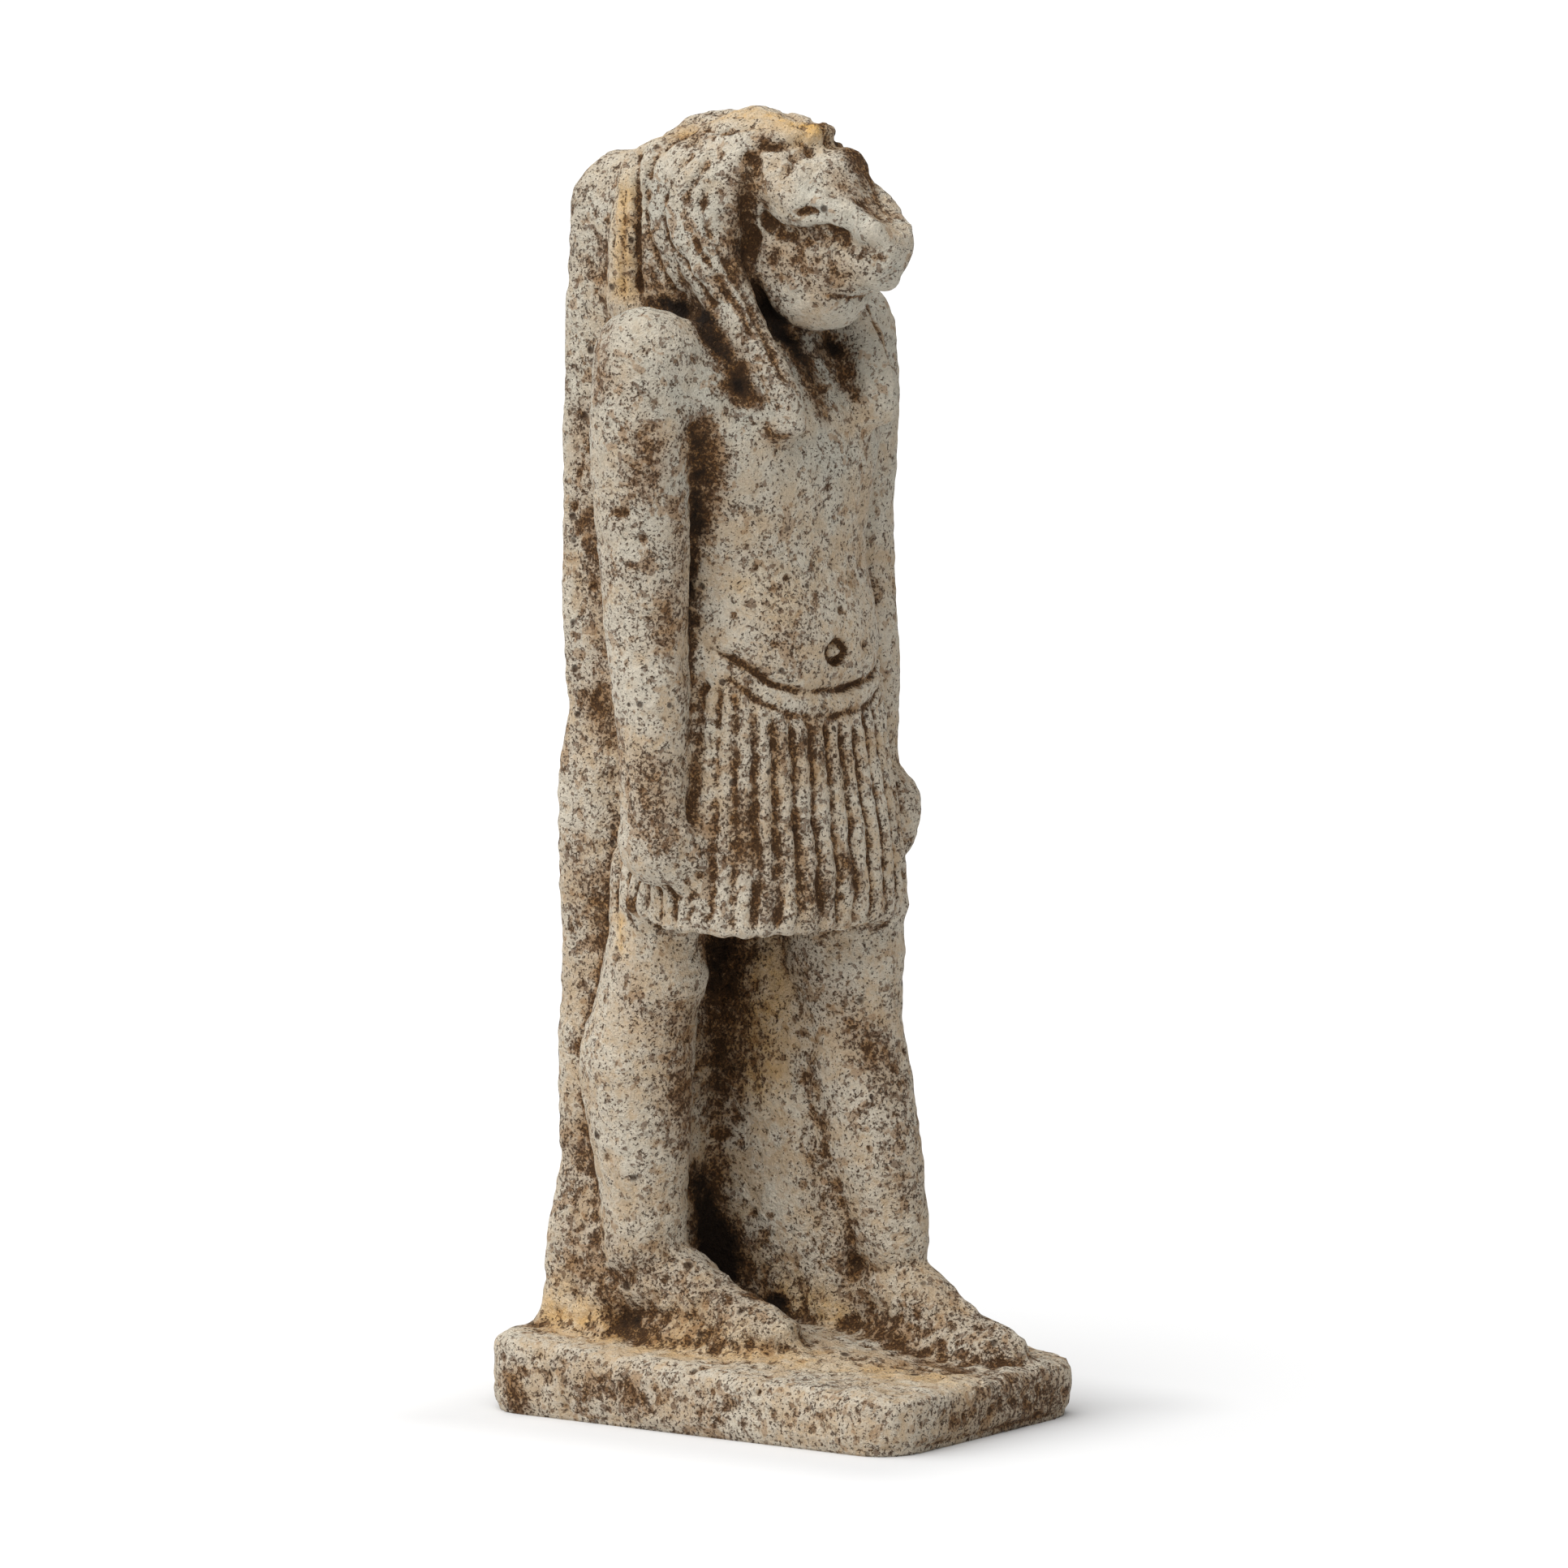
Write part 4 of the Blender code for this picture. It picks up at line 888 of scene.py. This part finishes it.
def faienceMaterial():
    material = bpy.data.materials.new("faience")
    material.use_nodes = True
    tree = material.node_tree
    tree.nodes.clear()
    out = addNode(tree, "ShaderNodeOutputMaterial", (16, 0))
    shader = addNode(tree, "ShaderNodeBsdfPrincipled", (15, 0))
    shader.inputs["Specular IOR Level"].default_value = paste["shine"]
    feed(tree, shader.outputs[0], out.inputs[0])
    where = addNode(tree, "ShaderNodeTexCoord", (-8, 0)).outputs["Object"]

    def share(name, row):
        return addNode(tree, "ShaderNodeAttribute", (-8, row), attribute_name=name).outputs["Fac"]

    def blend(at, factor, base, over):
        made = addNode(tree, "ShaderNodeMix", at, data_type="RGBA")
        feed(tree, factor, made.inputs[0])
        for target, source in ((made.inputs[6], base), (made.inputs[7], over)):
            feed(tree, source if hasattr(source, "links") else (*source, 1.0), target)
        return made.outputs[2]

    def placeGroup(group, at, **sources):
        made = addNode(tree, "ShaderNodeGroup", at, node_tree=group)
        for name, source in sources.items():
            feed(tree, source, made.inputs[name])
        return made.outputs[0]

    def times(at, first, second):
        return reckon(tree, at, "MULTIPLY", first, second)

    def plus(at, first, factor, rest):
        return reckon(tree, at, "MULTIPLY_ADD", first, factor, rest)

    broad = shaderNoise(tree, (-6, 0), where, paste["broad"], 3.0)
    middle = shaderNoise(tree, (-6, 1), where, paste["middle"], 4.0, 0.6)
    fine = shaderNoise(tree, (-6, 2), where, paste["fine"], 4.0, 0.65)
    sandy = shaderNoise(tree, (-6, 3), where, paste["sandy"], 3.0, 0.7)
    kinds = ("umberAndShade", "ochre", "rustAndShade", "plumAndShade", "hollowShade", "groove", "carved", "crease")
    marked = {kind: share(kind, 4 + row) for row, kind in enumerate(kinds)}

    # the paste, warm and pale, greyer towards the head
    tone = plus((-5, 0), middle, 0.5, plus((-5, 1), broad, 0.3, times((-5, 2), fine, 0.2)))
    colour = blend((-4, 0), smoothStep(tree, (-4, 1), tone, 0.42, 0.56), faience["body"], faience["pale"])
    greyed = times((-3, 1), share("greyed", 1), smoothStep(tree, (-3, 2), broad, 0.3, 0.6))
    colour = blend((-3, 0), times((-2, 1), greyed, 0.75), colour, faience["grey"])
    worn = times((-2, 2), share("worn", 2), smoothStep(tree, (-2, 3), fine, 0.35, 0.6))
    colour = blend((-1, 0), times((-1, 2), worn, 0.8), colour, faience["worn"])

    # how much earth has soaked in, from the stains, and how much shade is painted from the carving and the
    # hollows
    patches = shaderNoise(tree, (-5, 4), where, paste["patches"], 3.0, 0.6)
    patches = smoothStep(tree, (-4, 4), patches, 0.48, 0.68)
    dirtAndShade = plus((-3, 4), patches, 0.2, plus((-4, 5), share("soilAndLight", 12), 1.0, 0.22))
    # painted shade: the deepest hollows darken most
    marked["deep"] = smoothStep(tree, (-3, 6), marked["hollowShade"], 0.22, 0.75)
    for step, (kind, amount) in enumerate(dirtAndShadeShares.items()):
        dirtAndShade = plus((-2 + step, 5), marked[kind], amount, dirtAndShade)
    dirtAndShade = plus((6, 5), reckon(tree, (5, 6), "SUBTRACT", middle, 0.5), 1.1, dirtAndShade)
    dirtAndShade = plus((7, 5), reckon(tree, (6, 6), "SUBTRACT", fine, 0.5), 0.7, dirtAndShade)

    stain = stainGroup()
    for row, (kind, (scale, breakUp, strength)) in enumerate(washLooks.items()):
        source = marked[kind]
        made = placeGroup(stain, (row, 7), Vector=where, Share=source, Scale=scale, Break=breakUp)
        core = times((row, 9), source, source)
        wash = times((row, 8), made, plus((row, 10), core, strength, 0.45))
        colour = blend((1 + row, 0), wash, colour, faience[kind])
    # the soaked brown: earth, and painted shade in the hollows and grooves
    soakedAndShaded = smoothStep(tree, (5, 3), dirtAndShade, 0.25, 1.1)
    colour = blend((5, 0), times((6, 3), soakedAndShaded, 0.8), colour, faience["soakedAndShaded"])

    speckle = speckleGroup()
    wide = placeGroup(speckle, (6, 7), Vector=where, Size=paste["wideSpeck"], Dirt=dirtAndShade)
    coarse = placeGroup(speckle, (6, 8), Vector=where, Size=paste["coarseSpeck"], Dirt=dirtAndShade)
    small = placeGroup(speckle, (6, 9), Vector=where, Size=paste["smallSpeck"], Dirt=dirtAndShade)
    colour = blend((7, 0), times((7, 7), wide, 0.5), colour, faience["halo"])
    colour = blend((8, 0), times((7, 8), coarse, 0.65), colour, faience["umberAndShade"])
    colour = blend((9, 0), times((7, 9), small, 0.85), colour, faience["speckle"])
    pores = placeGroup(poreGroup(), (8, 8), Vector=where, Size=paste["poreSize"], Amount=paste["poreAmount"])
    colour = blend((10, 0), times((9, 8), pores, 0.85), colour, faience["speckle"])

    # painted shade: the deep hollows, darker where grooves and dark stains add to them, painted almost black
    shadeLevel = plus((9, 4), marked["groove"], 0.2, plus((8, 4), marked["umberAndShade"], 0.6, marked["hollowShade"]))
    shadeLevel = plus((10, 4), reckon(tree, (9, 5), "SUBTRACT", fine, 0.5), 0.7, shadeLevel)
    paintedShade = smoothStep(tree, (11, 4), shadeLevel, 0.6, 1.05)
    colour = blend((11, 0), times((12, 4), paintedShade, 0.95), colour, faience["shadeBlack"])

    # fine sand in the colour, and the relief of grain, specks and pores
    grit = addNode(tree, "ShaderNodeMix", (13, 0), data_type="RGBA", blend_type="MULTIPLY")
    grit.inputs[0].default_value = 1.0
    feed(tree, colour, grit.inputs[6])
    feed(tree, plus((12, 2), sandy, 0.5, 0.75), grit.inputs[7])
    feed(tree, grit.outputs[2], shader.inputs["Base Color"])

    rough = plus((11, 6), middle, 0.3, 0.55)
    rough = reckon(tree, (12, 6), "MULTIPLY_ADD", soakedAndShaded, 0.15, rough, clamp=True)
    feed(tree, rough, shader.inputs["Roughness"])
    relief = plus((10, 9), fine, 1.7, times((9, 9), sandy, 0.6))
    relief = plus((11, 9), coarse, -0.35, relief)
    relief = plus((12, 9), small, -0.3, relief)
    relief = plus((13, 9), pores, -1.2, relief)
    bump = addNode(tree, "ShaderNodeBump", (14, 7))
    bump.inputs["Strength"].default_value = 1.0
    bump.inputs["Distance"].default_value = paste["relief"]
    feed(tree, relief, bump.inputs["Height"])
    feed(tree, bump.outputs[0], shader.inputs["Normal"])
    return material


# the amulet: sizes in millimetres, and rounds of smoothing
amulet = {
    "joinGap": 0.002,
    "voxel": 0.115,
    "softening": 4,
    "plainRounds": 45,
    "fuseVoxel": 0.105,
    "flatBelow": 0.06,
    "triangles": 196000,
    "quickCoarser": 1.6,
}
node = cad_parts["thoth_amulet"]
coarser = 1.0
piece = fineSkin(node, amulet["voxel"] * coarser, round(amulet["softening"] / coarser))
report(f"fine skin with {len(piece.data.vertices)} points")
skinPoints, _ = meshArrays(piece.data)
plain = plainShare(skinPoints)[:, None]
skinPoints = (1 - plain) * skinPoints + plain * neighbourMean(piece.data, skinPoints, amulet["plainRounds"])
setPoints(piece.data, skinPoints)
_, skinNormals = meshArrays(piece.data)
sunk = carvedDepth(skinPoints, skinNormals) + wornForm(skinPoints, skinNormals)
skinPoints = skinPoints - skinNormals * sunk[:, None]
setPoints(piece.data, skinPoints)
setShare(piece.data, "wear", wearShare(skinPoints))
setShare(piece.data, "crust", crustShare(skinPoints))
finish = faienceMaterial()
piece = weathered(piece, finish)
report("carved and weathered")
piece = refined(piece, amulet["fuseVoxel"] * coarser, amulet["triangles"])
markSkin(piece, node)
piece.name = "amulet"
piece.data.name = "amulet"
piece.data.materials.clear()
piece.data.materials.append(finish)
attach(piece, "root")
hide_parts("thoth_amulet")
report(f"amulet with {triangleCount(piece.data)} triangles")

# the paper glows a little to the camera, but not close to the base, where the shadow stays
studio = {
    "floorSize": 6.0,
    "floorTone": 0.73,
    "floorRoughness": 0.9,
    "floorShine": 0.1,
    "floorGlow": 0.17,
    "glowFrom": -0.0005,
    "glowTo": 0.005,
    "baseHalf": (0.00735, 0.0087, 0.0),
    "keyAzimuth": -110.0,
    "keyElevation": 59.0,
    "keyStrength": 3.5,
    "keyAngle": 90.0,
    "keyDistance": 0.8,
    "skyElevation": 20.0,
    "skyFrom": -0.7,
    "skyTo": 0.8,
    "skyBright": 0.42,
    "skyDark": 0.24,
}


def makeFloor():
    shape = bmesh.new()
    bmesh.ops.create_grid(shape, x_segments=1, y_segments=1, size=studio["floorSize"] / 2)
    floor = meshObject("floor", shape)
    material = bpy.data.materials.new("floorPaper")
    material.use_nodes = True
    tree = material.node_tree
    paper = tree.nodes["Principled BSDF"]
    paper.inputs["Base Color"].default_value = (studio["floorTone"],) * 3 + (1.0,)
    paper.inputs["Roughness"].default_value = studio["floorRoughness"]
    paper.inputs["Specular IOR Level"].default_value = studio["floorShine"]
    paper.inputs["Emission Color"].default_value = (1.0, 1.0, 1.0, 1.0)
    seen = addNode(tree, "ShaderNodeLightPath", (-4, 0)).outputs["Is Camera Ray"]
    place = addNode(tree, "ShaderNodeTexCoord", (-6, 2)).outputs["Object"]
    for step, operation in enumerate(("ABSOLUTE", "SUBTRACT", "MAXIMUM")):
        made = addNode(tree, "ShaderNodeVectorMath", (-9 + step, 3), operation=operation)
        feed(tree, place, made.inputs[0])
        if operation == "SUBTRACT":
            made.inputs[1].default_value = studio["baseHalf"]
        place = made.outputs[0]
    away = addNode(tree, "ShaderNodeVectorMath", (-5, 2), operation="LENGTH")
    feed(tree, place, away.inputs[0])
    clear = smoothStep(tree, (-4, 2), away.outputs["Value"], studio["glowFrom"], studio["glowTo"])
    glow = reckon(tree, (-3, 1), "MULTIPLY", clear, studio["floorGlow"])
    feed(tree, reckon(tree, (-2, 0), "MULTIPLY", seen, glow), paper.inputs["Emission Strength"])
    floor.data.materials.append(material)


# a step of length 1 towards that azimuth and elevation, in degrees
def direction(azimuth, elevation):
    a, e = math.radians(azimuth), math.radians(elevation)
    return Vector((math.sin(a) * math.cos(e), -math.cos(a) * math.cos(e), math.sin(e)))


def aim(thing, place, back):
    thing.location = place
    thing.rotation_mode = "QUATERNION"
    thing.rotation_quaternion = (-back).to_track_quat("-Z", "Y")


def makeLight():
    lamp = bpy.data.lights.new("key", "SUN")
    lamp.energy = studio["keyStrength"]
    lamp.angle = math.radians(studio["keyAngle"])
    key = newObject("key", lamp)
    back = direction(studio["keyAzimuth"], studio["keyElevation"])
    aim(key, back * studio["keyDistance"], back)
    world = bpy.data.worlds.new("studio")
    bpy.context.scene.world = world
    world.use_nodes = True
    tree = world.node_tree
    sky = tree.nodes["Background"]
    towards = addNode(tree, "ShaderNodeTexCoord", (-5, 0)).outputs["Generated"]
    facing = addNode(tree, "ShaderNodeVectorMath", (-4, 0), operation="DOT_PRODUCT")
    feed(tree, towards, facing.inputs[0])
    facing.inputs[1].default_value = direction(studio["keyAzimuth"], studio["skyElevation"])
    spread = smoothStep(tree, (-3, 0), facing.outputs["Value"], studio["skyFrom"], studio["skyTo"])
    reach = studio["skyBright"] - studio["skyDark"]
    strength = reckon(tree, (-2, 0), "MULTIPLY_ADD", spread, reach, studio["skyDark"])
    feed(tree, strength, sky.inputs["Strength"])
    sky.inputs["Color"].default_value = (1.0, 1.0, 1.0, 1.0)


photoView = {
    "azimuth": -55.0,
    "elevation": 8.0,
    "distance": 0.6,
    "frameWidth": 0.0532,
    "height": 0.0216,
    "aside": 0.00002,
}


def makeCamera():
    eye = bpy.data.cameras.new("camera")
    eye.sensor_width = 36.0
    eye.lens = eye.sensor_width * photoView["distance"] / photoView["frameWidth"]
    eye.clip_start = 0.01
    eye.clip_end = 20.0
    camera = newObject("camera", eye)
    back = direction(photoView["azimuth"], photoView["elevation"])
    a = math.radians(photoView["azimuth"])
    target = Vector((0, 0, photoView["height"])) + Vector((math.cos(a), math.sin(a), 0)) * photoView["aside"]
    aim(camera, target + back * photoView["distance"], back)
    bpy.context.scene.camera = camera


makeFloor()
makeLight()
makeCamera()
bpy.context.scene.view_settings.view_transform = "Standard"
report("studio")
